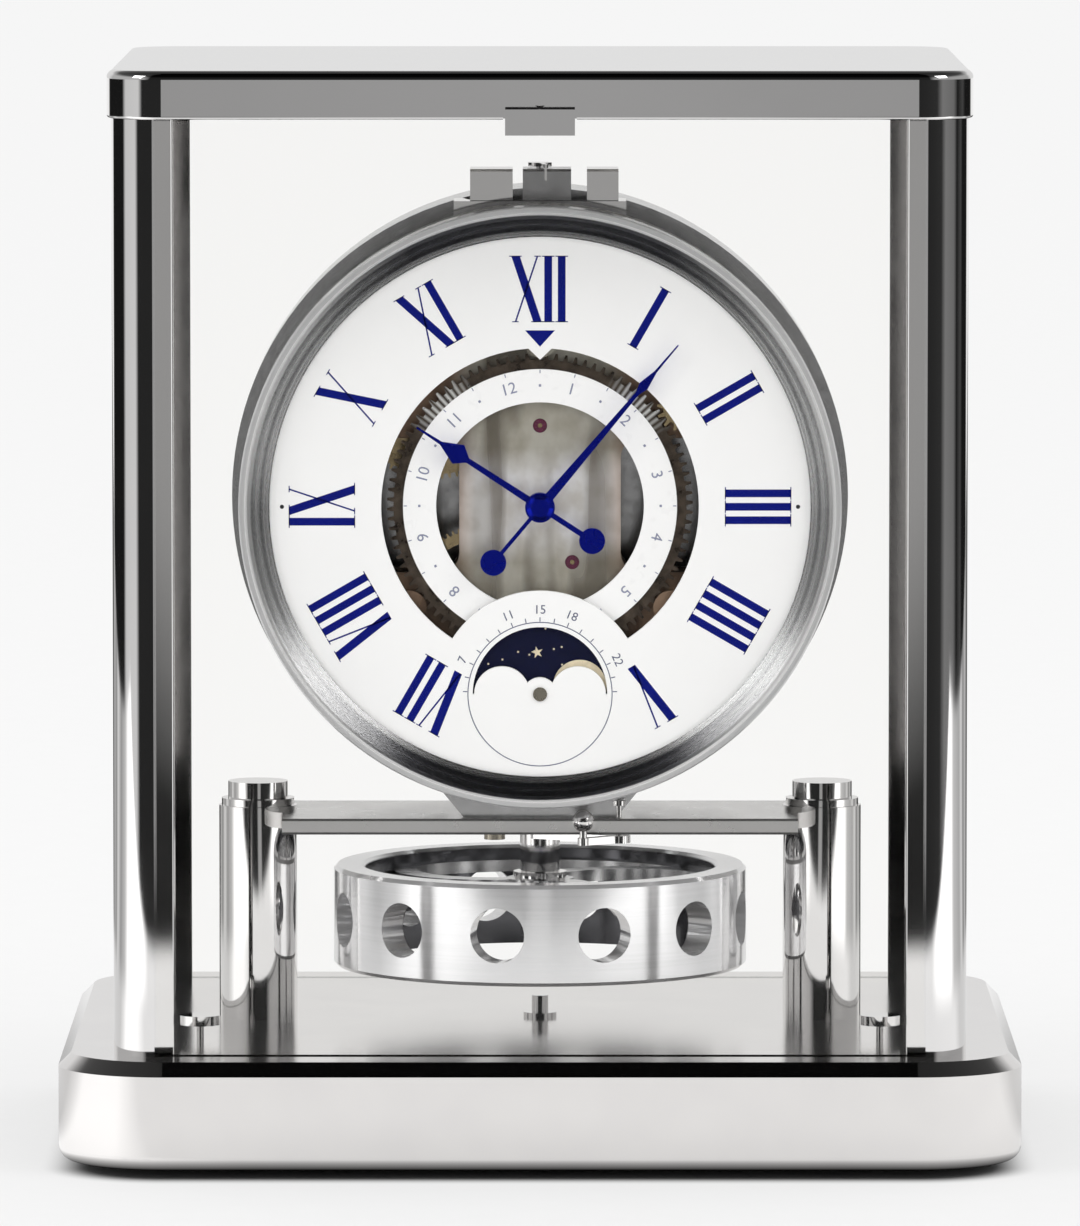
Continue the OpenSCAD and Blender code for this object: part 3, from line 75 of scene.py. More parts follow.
# Sizes of the CAD model that its boxes don't show
GROOVES = 4
# Width of the painted shade at each groove of the barrel
GROOVE_SHADE = 1.9 * MM
RING_WALL = 6.6 * MM
BEZEL_INNER_R = 57.0 * MM
BEZEL_RIM_R = 60.9 * MM
MONTH_PRINT_R = 28.5 * MM
# Width of the painted shade lines along the platform's edges
PLATFORM_EDGE = 0.4 * MM

# Print and paint
DIAL_MARKER = [(-3.1 * MM, 36.7 * MM), (0, 33.3 * MM), (3.1 * MM, 36.7 * MM)]
DIAL_DOT_R, DIAL_DOT_SIZE = 53.6 * MM, 0.9 * MM
MONTH_TRACK_R, MONTH_EDGE_R = 25.1 * MM, 28.0 * MM
MOON_CIRCLE = (14.9 * MM, 15.1 * MM)
MOON_TICK_R, MOON_NUMBER_R = 15.6 * MM, 17.6 * MM
MOON_NUMBERS = [(-66, "7"), (-22, "11"), (0, "15"), (22, "18"), (66, "22")]
PAINT_HEIGHT = 0.03 * MM
STAR_REACH, STAR_WAIST = 1.3 * MM, 0.5 * MM
STAR_X, STAR_Z = -0.6 * MM, 8.6 * MM

# Stage
PICTURE_H = 1226
SENSOR_H = 36
FLOOR_HALF = 60.0
LAMP_SIZE = (0.9, 1.1)
LAMP_POWER = 9
LAMP_X, LAMP_Y, LAMP_Z = 1.7, -1.2, 1.45
LAMP_AIM = Vector((0, 0, 0.1))


class ClockDialSettings(PropertyGroup):
    """Sizes and colours of the printing on the dial"""

    ink: FloatVectorProperty(
        name="Ink", description="Colour of the numerals", subtype="COLOR",
        size=3, min=0, max=1, default=(0.002, 0.007, 0.19))
    numeral_foot: FloatProperty(
        name="Numeral Foot", description="Radius at which the numerals stand",
        unit="LENGTH", default=38.4 * MM, min=0.03)
    numeral_head: FloatProperty(
        name="Numeral Head", description="Radius that the numerals reach",
        unit="LENGTH", default=52.2 * MM, min=0.03)
    stroke: FloatProperty(
        name="Thick Stroke", description="Width of a numeral's thick stroke",
        unit="LENGTH", default=1.6 * MM, min=0.0002)
    hairline: FloatProperty(
        name="Hairline", description="Width of a numeral's thin stroke and serifs",
        unit="LENGTH", default=0.34 * MM, min=0.0001)
    print_height: FloatProperty(
        name="Print Height", description="How far the print stands above the dial",
        unit="LENGTH", default=0.03 * MM, min=0.00001)


class ClockMonthSettings(PropertyGroup):
    """Marks on the month ring"""

    ink: FloatVectorProperty(
        name="Ink", description="Colour of the month numbers", subtype="COLOR",
        size=3, min=0, max=1, default=(0.24, 0.26, 0.38))
    number_size: FloatProperty(
        name="Number Size", description="Height of a month number",
        unit="LENGTH", default=3.4 * MM, min=0.001)
    ticks: IntProperty(
        name="Ticks", description="Number of ticks round the month ring",
        default=24, min=6, max=48)


class ClockMoonSettings(PropertyGroup):
    """The painted moon disc and its scale"""

    moon: FloatVectorProperty(
        name="Moon", description="Colour of the painted moons", subtype="COLOR",
        size=3, min=0, max=1, default=(0.78, 0.68, 0.48))
    moon_radius: FloatProperty(
        name="Moon Radius", description="Radius of a painted moon",
        unit="LENGTH", default=5.6 * MM, min=0.001)
    moon_at: FloatProperty(
        name="Moon Distance", description="Distance of a moon from the disc's axis",
        unit="LENGTH", default=8.4 * MM, min=0.001)
    age: FloatProperty(
        name="Age", description="Turn of the disc clockwise", unit="ROTATION",
        default=radians(80))
    stars: IntProperty(
        name="Stars", description="Number of painted stars", default=30, min=1, max=80)


class ClockStageSettings(PropertyGroup):
    """Camera and studio"""

    focal_pixels: FloatProperty(
        name="Focal Length", description="Focal length in pixels of the picture",
        default=11268)
    camera_distance: FloatProperty(
        name="Camera Distance", unit="LENGTH", default=2.359,
        description="Distance of the camera from the pendulum's axis")
    camera_height: FloatProperty(
        name="Camera Height", description="Height of the camera above the table",
        unit="LENGTH", default=0.3142)
    camera_tilt: FloatProperty(
        name="Camera Tilt", description="How far the camera looks down",
        unit="ROTATION", default=radians(4.963))
    backdrop: FloatProperty(
        name="Backdrop", description="Brightness of the backdrop, where 1 is white",
        default=0.93, min=0, max=1)
    fill: FloatProperty(
        name="Fill", description="Brightness of the soft light from all round",
        default=1.35, min=0)
    floor_glow: FloatProperty(
        name="Floor Glow", description="Light that lifts the paper to white",
        default=0.54, min=0)


# Materials

def new_material(name):
    """An empty node material with its Principled shader."""
    material = bpy.data.materials.new(name)
    material.use_nodes = True
    tree = material.node_tree
    return material, tree.nodes, tree.links, tree.nodes["Principled BSDF"]


def maths(nodes, links, kind, *values):
    """One Math node fed by numbers or sockets."""
    node = nodes.new("ShaderNodeMath")
    node.operation = kind
    for socket, value in zip(node.inputs, values):
        if isinstance(value, (int, float)):
            socket.default_value = value
        else:
            links.new(value, socket)
    return node.outputs[0]


def noise(nodes, links, scale, stretch=(1, 1, 1), detail=3.0):
    """A noise on Object coordinates, in cells per metre."""
    where = nodes.new("ShaderNodeTexCoord")
    shift = nodes.new("ShaderNodeMapping")
    shift.inputs["Scale"].default_value = stretch
    texture = nodes.new("ShaderNodeTexNoise")
    texture.inputs["Scale"].default_value = scale
    texture.inputs["Detail"].default_value = detail
    links.new(where.outputs["Object"], shift.inputs["Vector"])
    links.new(shift.outputs["Vector"], texture.inputs["Vector"])
    return texture.outputs["Fac"]


def object_place(nodes, links):
    """The X, Y and Z of Object coordinates."""
    where = nodes.new("ShaderNodeTexCoord")
    split = nodes.new("ShaderNodeSeparateXYZ")
    links.new(where.outputs["Object"], split.inputs[0])
    return split.outputs


def length_of(nodes, links, x, y):
    """The length of a vector of two values."""
    return maths(nodes, links, "SQRT", maths(
        nodes, links, "ADD", maths(nodes, links, "MULTIPLY", x, x),
        maths(nodes, links, "MULTIPLY", y, y)))


def ramp(nodes, links, source, low, high, start=0.3, end=0.7):
    """Maps a texture's value onto a range."""
    node = nodes.new("ShaderNodeMapRange")
    node.inputs["From Min"].default_value = start
    node.inputs["From Max"].default_value = end
    node.inputs["To Min"].default_value = low
    node.inputs["To Max"].default_value = high
    links.new(source, node.inputs["Value"])
    return node.outputs["Result"]


def tint(nodes, links, source, low, high, start=0.3, end=0.7):
    """Mixes two colours by a texture's value."""
    node = nodes.new("ShaderNodeValToRGB")
    node.color_ramp.elements[0].position = start
    node.color_ramp.elements[0].color = (*low, 1)
    node.color_ramp.elements[1].position = end
    node.color_ramp.elements[1].color = (*high, 1)
    links.new(source, node.inputs["Fac"])
    return node.outputs["Color"]


def blended(nodes, links, fac, a, b, kind="MIX"):
    """Two colours or sockets of colour, mixed by a value."""
    node = nodes.new("ShaderNodeMix")
    node.data_type = "RGBA"
    node.blend_type = kind
    for label, value in (("Factor", fac), ("A", a), ("B", b)):
        if isinstance(value, (int, float)):
            node.inputs[label].default_value = value
        elif isinstance(value, tuple):
            node.inputs[label].default_value = (*value, 1)
        else:
            links.new(value, node.inputs[label])
    return node.outputs["Result"]


def shaded(nodes, links, colour, open_to, shade):
    """A colour with painted shade: times a darker one where a value is 0."""
    darker = tint(nodes, links, open_to, shade, (1, 1, 1), 0, 1)
    return blended(nodes, links, 1.0, colour, darker, "MULTIPLY")


def bump(nodes, links, source, shader, strength, distance):
    """Relief of a shader by a texture's value."""
    node = nodes.new("ShaderNodeBump")
    node.inputs["Strength"].default_value = strength
    node.inputs["Distance"].default_value = distance
    links.new(source, node.inputs["Height"])
    links.new(node.outputs["Normal"], shader.inputs["Normal"])


def metal(name, colour, rough, spread, scale=400, relief=0.0, shade=0.9):
    """A metal with a fine grain."""
    material, nodes, links, shader = new_material(name)
    grain = noise(nodes, links, scale, detail=4.0)
    shader.inputs["Metallic"].default_value = 1.0
    darker = tuple(shade * c for c in colour)
    links.new(tint(nodes, links, grain, darker, colour), shader.inputs["Base Color"])
    links.new(ramp(nodes, links, grain, rough, rough + spread),
              shader.inputs["Roughness"])
    if relief:
        bump(nodes, links, grain, shader, relief, 0.0002)
    return material


def paint(name, colour, rough, coat, shade=0.96, scale=250, gloss=0.5):
    """Lacquer, print or plastic with a faint mottle."""
    material, nodes, links, shader = new_material(name)
    mottle = noise(nodes, links, scale)
    darker = tuple(shade * c for c in colour)
    links.new(tint(nodes, links, mottle, darker, colour),
              shader.inputs["Base Color"])
    links.new(ramp(nodes, links, mottle, rough, rough * 1.25),
              shader.inputs["Roughness"])
    shader.inputs["Coat Weight"].default_value = coat
    shader.inputs["Coat Roughness"].default_value = 0.08
    shader.inputs["Specular IOR Level"].default_value = gloss
    return material


def off_axis(nodes, links, height):
    """Distance from the axis through the dial's middle, or another at a height."""
    where = nodes.new("ShaderNodeTexCoord")
    shift = nodes.new("ShaderNodeMapping")
    shift.inputs["Location"].default_value = (0, 0, -height)
    shift.inputs["Scale"].default_value = (1, 0, 1)
    length = nodes.new("ShaderNodeVectorMath")
    length.operation = "LENGTH"
    links.new(where.outputs["Object"], shift.inputs["Vector"])
    links.new(shift.outputs["Vector"], length.inputs[0])
    return length.outputs["Value"]


def bezel_metal(name, inner, rim):
    """Turned bezel with fine rings and painted shade: dark above and below, where its
    slope would face the shade, and left bright at the sides, at the lip and outside a
    radius."""
    material, nodes, links, shader = new_material(name)
    radius = off_axis(nodes, links, DIAL_Z)
    lines = nodes.new("ShaderNodeTexNoise")
    lines.noise_dimensions = "1D"
    lines.inputs["Scale"].default_value = 700
    lines.inputs["Detail"].default_value = 3.0
    links.new(radius, lines.inputs["W"])
    place = object_place(nodes, links)
    aside = maths(nodes, links, "DIVIDE",
                  maths(nodes, links, "ABSOLUTE", place["X"]), radius)
    edge = ramp(nodes, links, radius, 0, 1, rim - 0.2 * MM, rim)
    lip = ramp(nodes, links, radius, 1, 0, inner, inner + 0.6 * MM)
    open_to = maths(nodes, links, "MAXIMUM", maths(nodes, links, "MAXIMUM", edge, lip),
                    ramp(nodes, links, aside, 0, 1, 0.45, 0.8))
    fine = tint(nodes, links, lines.outputs["Fac"], (0.6, 0.6, 0.61), (0.96, 0.96, 0.96))
    # Painted shade: the rings' colour darkened above and below the dial's middle
    links.new(shaded(nodes, links, fine, open_to, (0.22, 0.22, 0.24)),
              shader.inputs["Base Color"])
    links.new(ramp(nodes, links, edge, 1.0, 0.45, 0, 1), shader.inputs["Metallic"])
    links.new(ramp(nodes, links, lines.outputs["Fac"], 0.2, 0.32),
              shader.inputs["Roughness"])
    return material


def grooved_metal(name, first, pitch, width):
    """Polished barrel with painted shade in and beside its turned grooves, at even
    distances along Y.
    """
    material, nodes, links, shader = new_material(name)
    along = maths(nodes, links, "SUBTRACT", object_place(nodes, links)["Y"], first)
    wave = maths(nodes, links, "COSINE",
                 maths(nodes, links, "MULTIPLY", along, 2 * math.pi / pitch))
    shore = cos(math.pi * width / pitch)
    open_to = ramp(nodes, links, wave, 1, 0, shore - 0.25, shore + 0.1)
    wear = noise(nodes, links, 500)
    fine = tint(nodes, links, wear, (0.82, 0.82, 0.8), (0.95, 0.95, 0.93))
    # Painted shade: the colour darkened to 0.06 over each groove and a little past it
    links.new(shaded(nodes, links, fine, open_to, (0.06, 0.06, 0.06)),
              shader.inputs["Base Color"])
    shader.inputs["Metallic"].default_value = 0.25
    links.new(ramp(nodes, links, wear, 0.24, 0.34),
              shader.inputs["Roughness"])
    return material


def balance_metal(name, inner):
    """Turned ring round the Z axis, bright outside and with painted shade within a
    radius.
    """
    material, nodes, links, shader = new_material(name)
    place = object_place(nodes, links)
    radius = length_of(nodes, links, place["X"], place["Y"])
    open_to = ramp(nodes, links, radius, 0, 1, inner, inner + 0.3 * MM)
    grain = noise(nodes, links, 180, (0.05, 0.05, 12), 4.0)
    fine = tint(nodes, links, grain, (0.84, 0.84, 0.85), (0.92, 0.92, 0.93))
    # Painted shade on the ring's inner face, within the radius
    links.new(shaded(nodes, links, fine, open_to, (0.16, 0.16, 0.17)),
              shader.inputs["Base Color"])
    shader.inputs["Metallic"].default_value = 0.72
    links.new(ramp(nodes, links, grain, 0.1, 0.15),
              shader.inputs["Roughness"])
    return material


def edged_metal(name, low, high, line):
    """Satin plate with thin lines of painted shade along its front and rear edges."""
    material, nodes, links, shader = new_material(name)
    place = object_place(nodes, links)
    inside = [maths(nodes, links, "MINIMUM",
                    maths(nodes, links, "SUBTRACT", place[label], low[axis]),
                    maths(nodes, links, "SUBTRACT", high[axis], place[label]))
              for axis, label in ((1, "Y"), (2, "Z"))]
    depth = maths(nodes, links, "MAXIMUM", *inside)
    open_to = ramp(nodes, links, depth, 0, 1, line, line + 0.15 * MM)
    grain = noise(nodes, links, 300)
    fine = tint(nodes, links, grain, (0.8448, 0.8352, 0.8256), (0.88, 0.87, 0.86))
    links.new(shaded(nodes, links, fine, open_to, (0.2, 0.2, 0.2)),
              shader.inputs["Base Color"])
    shader.inputs["Metallic"].default_value = 1.0
    links.new(ramp(nodes, links, grain, 0.27, 0.33),
              shader.inputs["Roughness"])
    return material


def plinth_metal(name, level):
    """Polished plinth, a little softer on top, above a level, with painted shade that
    leaves it a little darker below that level than on top.
    """
    material, nodes, links, shader = new_material(name)
    top = ramp(nodes, links, object_place(nodes, links)["Z"], 0, 1, level - 0.2 * MM,
               level - 0.1 * MM)
    grain = noise(nodes, links, 60)
    front = tint(nodes, links, grain, (0.88, 0.86, 0.85), (0.92, 0.9, 0.885))
    # Painted shade: below the top the colour is taken down to 0.95
    shade = tint(nodes, links, top, (0.95, 0.95, 0.95), (1, 1, 1), 0, 1)
    links.new(blended(nodes, links, 1.0, front, shade, "MULTIPLY"),
              shader.inputs["Base Color"])
    shader.inputs["Metallic"].default_value = 1.0
    links.new(ramp(nodes, links, top, 0.1, 0.16, 0, 1), shader.inputs["Roughness"])
    return material


def month_enamel(name, edge):
    """White print inside a radius; outside it a toothed rim of dark bronzed steel with
    painted highlights on its flanks at the upper left and right."""
    material, nodes, links, shader = new_material(name)
    bare = ramp(nodes, links, off_axis(nodes, links, DIAL_Z), 0, 1, edge - 0.05 * MM,
                edge + 0.05 * MM)
    place = object_place(nodes, links)
    rise = maths(nodes, links, "SUBTRACT", place["Z"], DIAL_Z)
    turn = maths(nodes, links, "ARCTAN2", place["X"], rise)
    side = maths(nodes, links, "SUBTRACT", maths(nodes, links, "ABSOLUTE", turn),
                 radians(44))
    # Painted highlights on the teeth's flanks, near 44 degrees each side of the top
    near = ramp(nodes, links, maths(nodes, links, "ABSOLUTE", side), 1, 0,
                radians(6), radians(15))
    flank = maths(nodes, links, "SINE", maths(nodes, links, "MULTIPLY", turn, 150.0))
    painted_glint = maths(nodes, links, "MULTIPLY", near, ramp(nodes, links, flank, 0, 1, -1, 1))
    mottle = noise(nodes, links, 350)
    bronze = tint(nodes, links, mottle, (0.035, 0.025, 0.018),
                  (0.13, 0.10, 0.075))
    rim = blended(nodes, links, painted_glint, bronze, (0.93, 0.93, 0.91))
    links.new(blended(nodes, links, bare, (0.94, 0.94, 0.94), rim),
              shader.inputs["Base Color"])
    links.new(maths(nodes, links, "MULTIPLY", bare, 0.6), shader.inputs["Metallic"])
    links.new(ramp(nodes, links, mottle, 0.25, 0.36),
              shader.inputs["Roughness"])
    return material


def plate_metal(name):
    """Nickelled plate: mottled satin with upright bands, a painted light band across its
    middle and browner at both sides."""
    material, nodes, links, shader = new_material(name)
    mottle = noise(nodes, links, 200, (1, 1, 0.8))
    bands = noise(nodes, links, 130, (1, 0.02, 0.12), 1.0)
    place = object_place(nodes, links)
    rise = maths(nodes, links, "ABSOLUTE",
                 maths(nodes, links, "SUBTRACT", place["Z"], DIAL_Z))
    aside = maths(nodes, links, "ABSOLUTE", place["X"])
    # Painted light: a lighter colour in a band across the hub's height
    middle = ramp(nodes, links, rise, 1, 0, 6 * MM, 12 * MM)
    dull = tint(nodes, links, mottle, (0.42, 0.39, 0.32), (0.56, 0.54, 0.47), 0.35, 0.65)
    light = tint(nodes, links, mottle, (0.74, 0.71, 0.66), (0.96, 0.95, 0.93), 0.35, 0.6)
    streaks = tint(nodes, links, bands, (0.42, 0.4, 0.38), (1, 1, 1),
                   0.42, 0.55)
    brown = tint(nodes, links, ramp(nodes, links, aside, 0, 1, 13 * MM, 19 * MM),
                 (1, 1, 1), (0.5, 0.34, 0.26), 0, 1)
    colour = blended(nodes, links, 1.0, blended(nodes, links, middle, dull, light),
                     streaks, "MULTIPLY")
    links.new(blended(nodes, links, 1.0, colour, brown, "MULTIPLY"),
              shader.inputs["Base Color"])
    shader.inputs["Metallic"].default_value = 0.45
    links.new(ramp(nodes, links, bands, 0.2, 0.4),
              shader.inputs["Roughness"])
    return material


def clear_glass(name):
    """A thin clear pane: what is behind it shows unbent, with a faint reflection."""
    material = bpy.data.materials.new(name)
    material.use_nodes = True
    nodes, links = material.node_tree.nodes, material.node_tree.links
    nodes.clear()
    out = nodes.new("ShaderNodeOutputMaterial")
    mix = nodes.new("ShaderNodeMixShader")
    clear = nodes.new("ShaderNodeBsdfTransparent")
    gloss = nodes.new("ShaderNodeBsdfPrincipled")
    rim = nodes.new("ShaderNodeFresnel")
    smear = noise(nodes, links, 30)
    clear.inputs["Color"].default_value = (0.998, 0.997, 0.994, 1)
    gloss.inputs["Base Color"].default_value = (0.95, 0.97, 0.97, 1)
    gloss.inputs["Metallic"].default_value = 1.0
    links.new(ramp(nodes, links, smear, 0.0, 0.02),
              gloss.inputs["Roughness"])
    rim.inputs["IOR"].default_value = 1.12
    links.new(rim.outputs["Fac"], mix.inputs["Fac"])
    links.new(clear.outputs["BSDF"], mix.inputs[1])
    links.new(gloss.outputs["BSDF"], mix.inputs[2])
    links.new(mix.outputs["Shader"], out.inputs["Surface"])
    return material


def make_materials():
    """Every finish by its name: the material slots of the frame and the special ones."""
    return {
        "polished_steel": metal("polished_steel", (0.86, 0.85, 0.845), 0.03, 0.03,
                                scale=60, shade=0.97),
        "satin_steel": metal("satin_steel", (0.74, 0.74, 0.745), 0.16, 0.08, scale=300),
        "turned_steel": balance_metal("turned_steel", RING_R - RING_WALL),
        "base_steel": plinth_metal("base_steel", PLINTH_HIGH[2]),
        "bezel_steel": bezel_metal("bezel_steel", BEZEL_INNER_R, BEZEL_RIM_R),
        "ring_steel": grooved_metal("ring_steel", BARREL_FRONT,
                                    (BARREL_BACK - BARREL_FRONT) / (GROOVES + 1),
                                    GROOVE_SHADE),
        "rear_steel": metal("rear_steel", (0.62, 0.62, 0.625), 0.12, 0.1, scale=500),
        "plate_steel": plate_metal("plate_steel"),
        "month_enamel": month_enamel("month_enamel", MONTH_PRINT_R),
        "platform_steel": edged_metal("platform_steel", PLATFORM_LOW, PLATFORM_HIGH,
                                      PLATFORM_EDGE),
        "bronzed_steel": metal("bronzed_steel", (0.5, 0.46, 0.38), 0.2, 0.1, scale=300),
        "gilt_brass": metal("gilt_brass", (0.80, 0.63, 0.36), 0.16, 0.14, 700, 0.02),
        "blued_steel": metal("blued_steel", (0.010, 0.022, 0.62), 0.2, 0.12, scale=300),
        "white_enamel": paint("white_enamel", (0.95, 0.95, 0.95), 0.32, 0.1, 0.99),
        "moon_blue": paint("moon_blue", (0.004, 0.006, 0.035), 0.35, 0.0, 0.7, 500,
                           gloss=0.12),
        "ruby": paint("ruby", (0.10, 0.012, 0.04), 0.1, 0.3, 0.7, 900),
        "foot_rubber": paint("foot_rubber", (0.03, 0.03, 0.03), 0.7, 0.0, 0.8, 700),
        "clear_glass": clear_glass("clear_glass"),
    }


SPECIAL_FINISH = {
    "bezel": "bezel_steel", "pendulum_ring": "turned_steel", "drum_cover": "rear_steel",
    "drum_shell": "rear_steel", "movement_ring": "ring_steel",
    "base_plinth": "base_steel", "platform": "platform_steel",
    "movement_screws": "bronzed_steel", "month_ring": "month_enamel",
    "front_plate": "plate_steel", "rear_plate": "plate_steel", "cradle": "satin_steel",
    "regulator_index": "polished_steel",
}


# Mesh helpers

def add_mesh(name, mesh, material, body):
    """Puts a finished mesh in the scene as a piece of a CAD body."""
    obj = bpy.data.objects.new(name, mesh)
    bpy.context.scene.collection.objects.link(obj)
    mesh.materials.clear()
    mesh.materials.append(material)
    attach(obj, body)
    return obj


def print_mesh(name, outlines, back, height, z_mid=DIAL_Z):
    """Thin raised print from outlines of (x, height) points, facing -Y at depth back."""
    work = bmesh.new()
    for outline in outlines:
        area = sum(a[0] * b[1] - b[0] * a[1]
                   for a, b in zip(outline, outline[1:] + outline[:1]))
        points = outline if area > 0 else outline[::-1]
        low = [work.verts.new((x, back, z_mid + z)) for x, z in points]
        high = [work.verts.new((x, back - height, z_mid + z)) for x, z in points]
        work.faces.new(high)
        work.faces.new(low[::-1])
        for i in range(len(points)):
            j = (i + 1) % len(points)
            work.faces.new((low[i], low[j], high[j], high[i]))
    bmesh.ops.recalc_face_normals(work, faces=work.faces)
    mesh = bpy.data.meshes.new(name)
    work.to_mesh(mesh)
    work.free()
    return mesh


def circle_points(x, z, r, count=48):
    """The outline of a disc."""
    return [(x + r * cos(2 * math.pi * i / count), z + r * sin(2 * math.pi * i / count))
            for i in range(count)]


def ring_outlines(inner, outer, count=96):
    """Quads that make a flat ring."""
    outlines = []
    for i in range(count):
        a, b = (radians(360 * k / count) for k in (i, i + 1))
        outlines.append([(r * cos(t), r * sin(t))
                         for r, t in ((inner, a), (outer, a), (outer, b), (inner, b))])
    return outlines


def at_clock(angle, u, v):
    """A point u to the right and v out from the centre, at a clock angle in degrees."""
    a = radians(angle)
    return (u * cos(a) + v * sin(a), -u * sin(a) + v * cos(a))


def text_mesh(words, size):
    """The outlines of generic digits as a flat mesh, centred on its own box."""
    curve = bpy.data.curves.new("digits", "FONT")
    curve.body = words
    curve.size = size
    curve.align_x = "CENTER"
    curve.align_y = "CENTER"
    curve.resolution_u = 3
    holder = bpy.data.objects.new("digits", curve)
    bpy.context.scene.collection.objects.link(holder)
    depsgraph = bpy.context.evaluated_depsgraph_get()
    mesh = bpy.data.meshes.new_from_object(holder.evaluated_get(depsgraph))
    bpy.data.objects.remove(holder)
    bpy.data.curves.remove(curve)
    return mesh


def digits_round(name, labels, radius, size, depth, z_mid):
    """Labels that stand round a circle with their feet to its middle.

    labels is a list of (clock angle, words)."""
    work = bmesh.new()
    for angle, words in labels:
        mesh = text_mesh(words, size)
        x, z = at_clock(angle, 0, radius)
        place = (Matrix.Translation((x, depth, z_mid + z))
                 @ Matrix.Rotation(radians(angle), 4, "Y")
                 @ Matrix.Rotation(radians(90), 4, "X"))
        mesh.transform(place)
        work.from_mesh(mesh)
        bpy.data.meshes.remove(mesh)
    result = bpy.data.meshes.new(name)
    work.to_mesh(result)
    work.free()
    return result


# Geometry Nodes: marks round a circle

def marks_tree(name, material, shape):
    """A tree that stands one mark at each of Count places on an arc round the dial."""
    tree = bpy.data.node_groups.new(name, "GeometryNodeTree")
    face = tree.interface
    sockets = {}
    for label, kind in (("Count", "Int"), ("Radius", "Float"), ("Start", "Float"),
                        ("Step", "Float"), ("Width", "Float"), ("Length", "Float"),
                        ("Height", "Float"), ("Scatter", "Float"), ("Seed", "Int"),
                        ("Place", "Vector")):
        socket = face.new_socket(label, in_out="INPUT", socket_type="NodeSocket" + kind)
        sockets[label] = socket.identifier
    face.new_socket("Geometry", in_out="OUTPUT", socket_type="NodeSocketGeometry")
    nodes, links = tree.nodes, tree.links
    given = nodes.new("NodeGroupInput")
    out = nodes.new("NodeGroupOutput")

    def value(kind, *values):
        return maths(nodes, links, kind, *values)

    points = nodes.new("GeometryNodePoints")
    links.new(given.outputs["Count"], points.inputs["Count"])
    index = nodes.new("GeometryNodeInputIndex")
    angle = value("ADD", given.outputs["Start"],
                  value("MULTIPLY", index.outputs[0], given.outputs["Step"]))
    chance = nodes.new("FunctionNodeRandomValue")
    chance.data_type = "FLOAT"
    links.new(given.outputs["Seed"], chance.inputs["Seed"])
    links.new(index.outputs[0], chance.inputs["ID"])
    radius = value("MULTIPLY", given.outputs["Radius"],
                   value("SUBTRACT", 1.0, value("MULTIPLY", chance.outputs[1],
                                                given.outputs["Scatter"])))
    place = nodes.new("ShaderNodeCombineXYZ")
    links.new(value("MULTIPLY", radius, value("SINE", angle)), place.inputs["X"])
    links.new(value("MULTIPLY", radius, value("COSINE", angle)), place.inputs["Z"])
    spot = nodes.new("ShaderNodeVectorMath")
    spot.operation = "ADD"
    links.new(place.outputs[0], spot.inputs[0])
    links.new(given.outputs["Place"], spot.inputs[1])
    links.new(spot.outputs[0], points.inputs["Position"])

    if shape == "bar":
        mark = nodes.new("GeometryNodeMeshCube")
        size = nodes.new("ShaderNodeCombineXYZ")
        links.new(given.outputs["Width"], size.inputs["X"])
        links.new(given.outputs["Height"], size.inputs["Y"])
        links.new(given.outputs["Length"], size.inputs["Z"])
        links.new(size.outputs[0], mark.inputs["Size"])
        mark_out = mark.outputs["Mesh"]
    else:
        mark = nodes.new("GeometryNodeMeshCylinder")
        mark.inputs["Vertices"].default_value = 10
        links.new(value("MULTIPLY", given.outputs["Width"], 0.5), mark.inputs["Radius"])
        links.new(given.outputs["Height"], mark.inputs["Depth"])
        lay = nodes.new("GeometryNodeTransform")
        lay.inputs["Rotation"].default_value = (radians(90), 0, 0)
        links.new(mark.outputs["Mesh"], lay.inputs["Geometry"])
        mark_out = lay.outputs[0]
    turn = nodes.new("ShaderNodeCombineXYZ")
    links.new(angle, turn.inputs["Y"])
    stand = nodes.new("GeometryNodeInstanceOnPoints")
    links.new(points.outputs[0], stand.inputs["Points"])
    links.new(mark_out, stand.inputs["Instance"])
    links.new(turn.outputs[0], stand.inputs["Rotation"])
    real = nodes.new("GeometryNodeRealizeInstances")
    links.new(stand.outputs[0], real.inputs[0])
    finish = nodes.new("GeometryNodeSetMaterial")
    finish.inputs["Material"].default_value = material
    links.new(real.outputs[0], finish.inputs["Geometry"])
    links.new(finish.outputs[0], out.inputs[0])
    return tree, sockets


def marks(name, material, body, slot_name, shape="bar", **sizes):
    """Runs a tree of marks and keeps its result as a plain mesh."""
    tree, sockets = marks_tree(name, material, shape)
    holder = bpy.data.objects.new(name + "_maker", bpy.data.meshes.new(name + "_maker"))
    bpy.context.scene.collection.objects.link(holder)
    modifier = holder.modifiers.new(name, "NODES")
    modifier.node_group = tree
    for label, value in sizes.items():
        modifier[sockets[label]] = value
    depsgraph = bpy.context.evaluated_depsgraph_get()
    mesh = bpy.data.meshes.new_from_object(holder.evaluated_get(depsgraph))
    holder.modifiers.remove(modifier)
    bpy.data.objects.remove(holder)
    mesh.name = name
    return add_mesh(name, mesh, material, body)


# Operators

class CLOCK_OT_finishes(Operator):
    """Give every piece of the frame its finish"""

    bl_idname = "clock.finishes"
    bl_label = "Finishes"

    def execute(self, context):
        made = make_materials()
        for part in frame["record"]["subparts"]:
            node = part["node"]
            obj = frame["nodes"][node]
            material = made[SPECIAL_FINISH.get(node, part["material_slot"])]
            obj.data.materials.clear()
            obj.data.materials.append(material)
            for polygon in obj.data.polygons:
                polygon.material_index = 0
        return {"FINISHED"}


NUMERALS = {1: "I", 2: "II", 3: "III", 4: "IIII", 5: "V", 7: "VII", 8: "VIII",
            9: "IX", 10: "X", 11: "XI", 12: "XII"}
ADVANCE = {"I": 2.8 * MM, "V": 5.2 * MM, "X": 6.2 * MM}


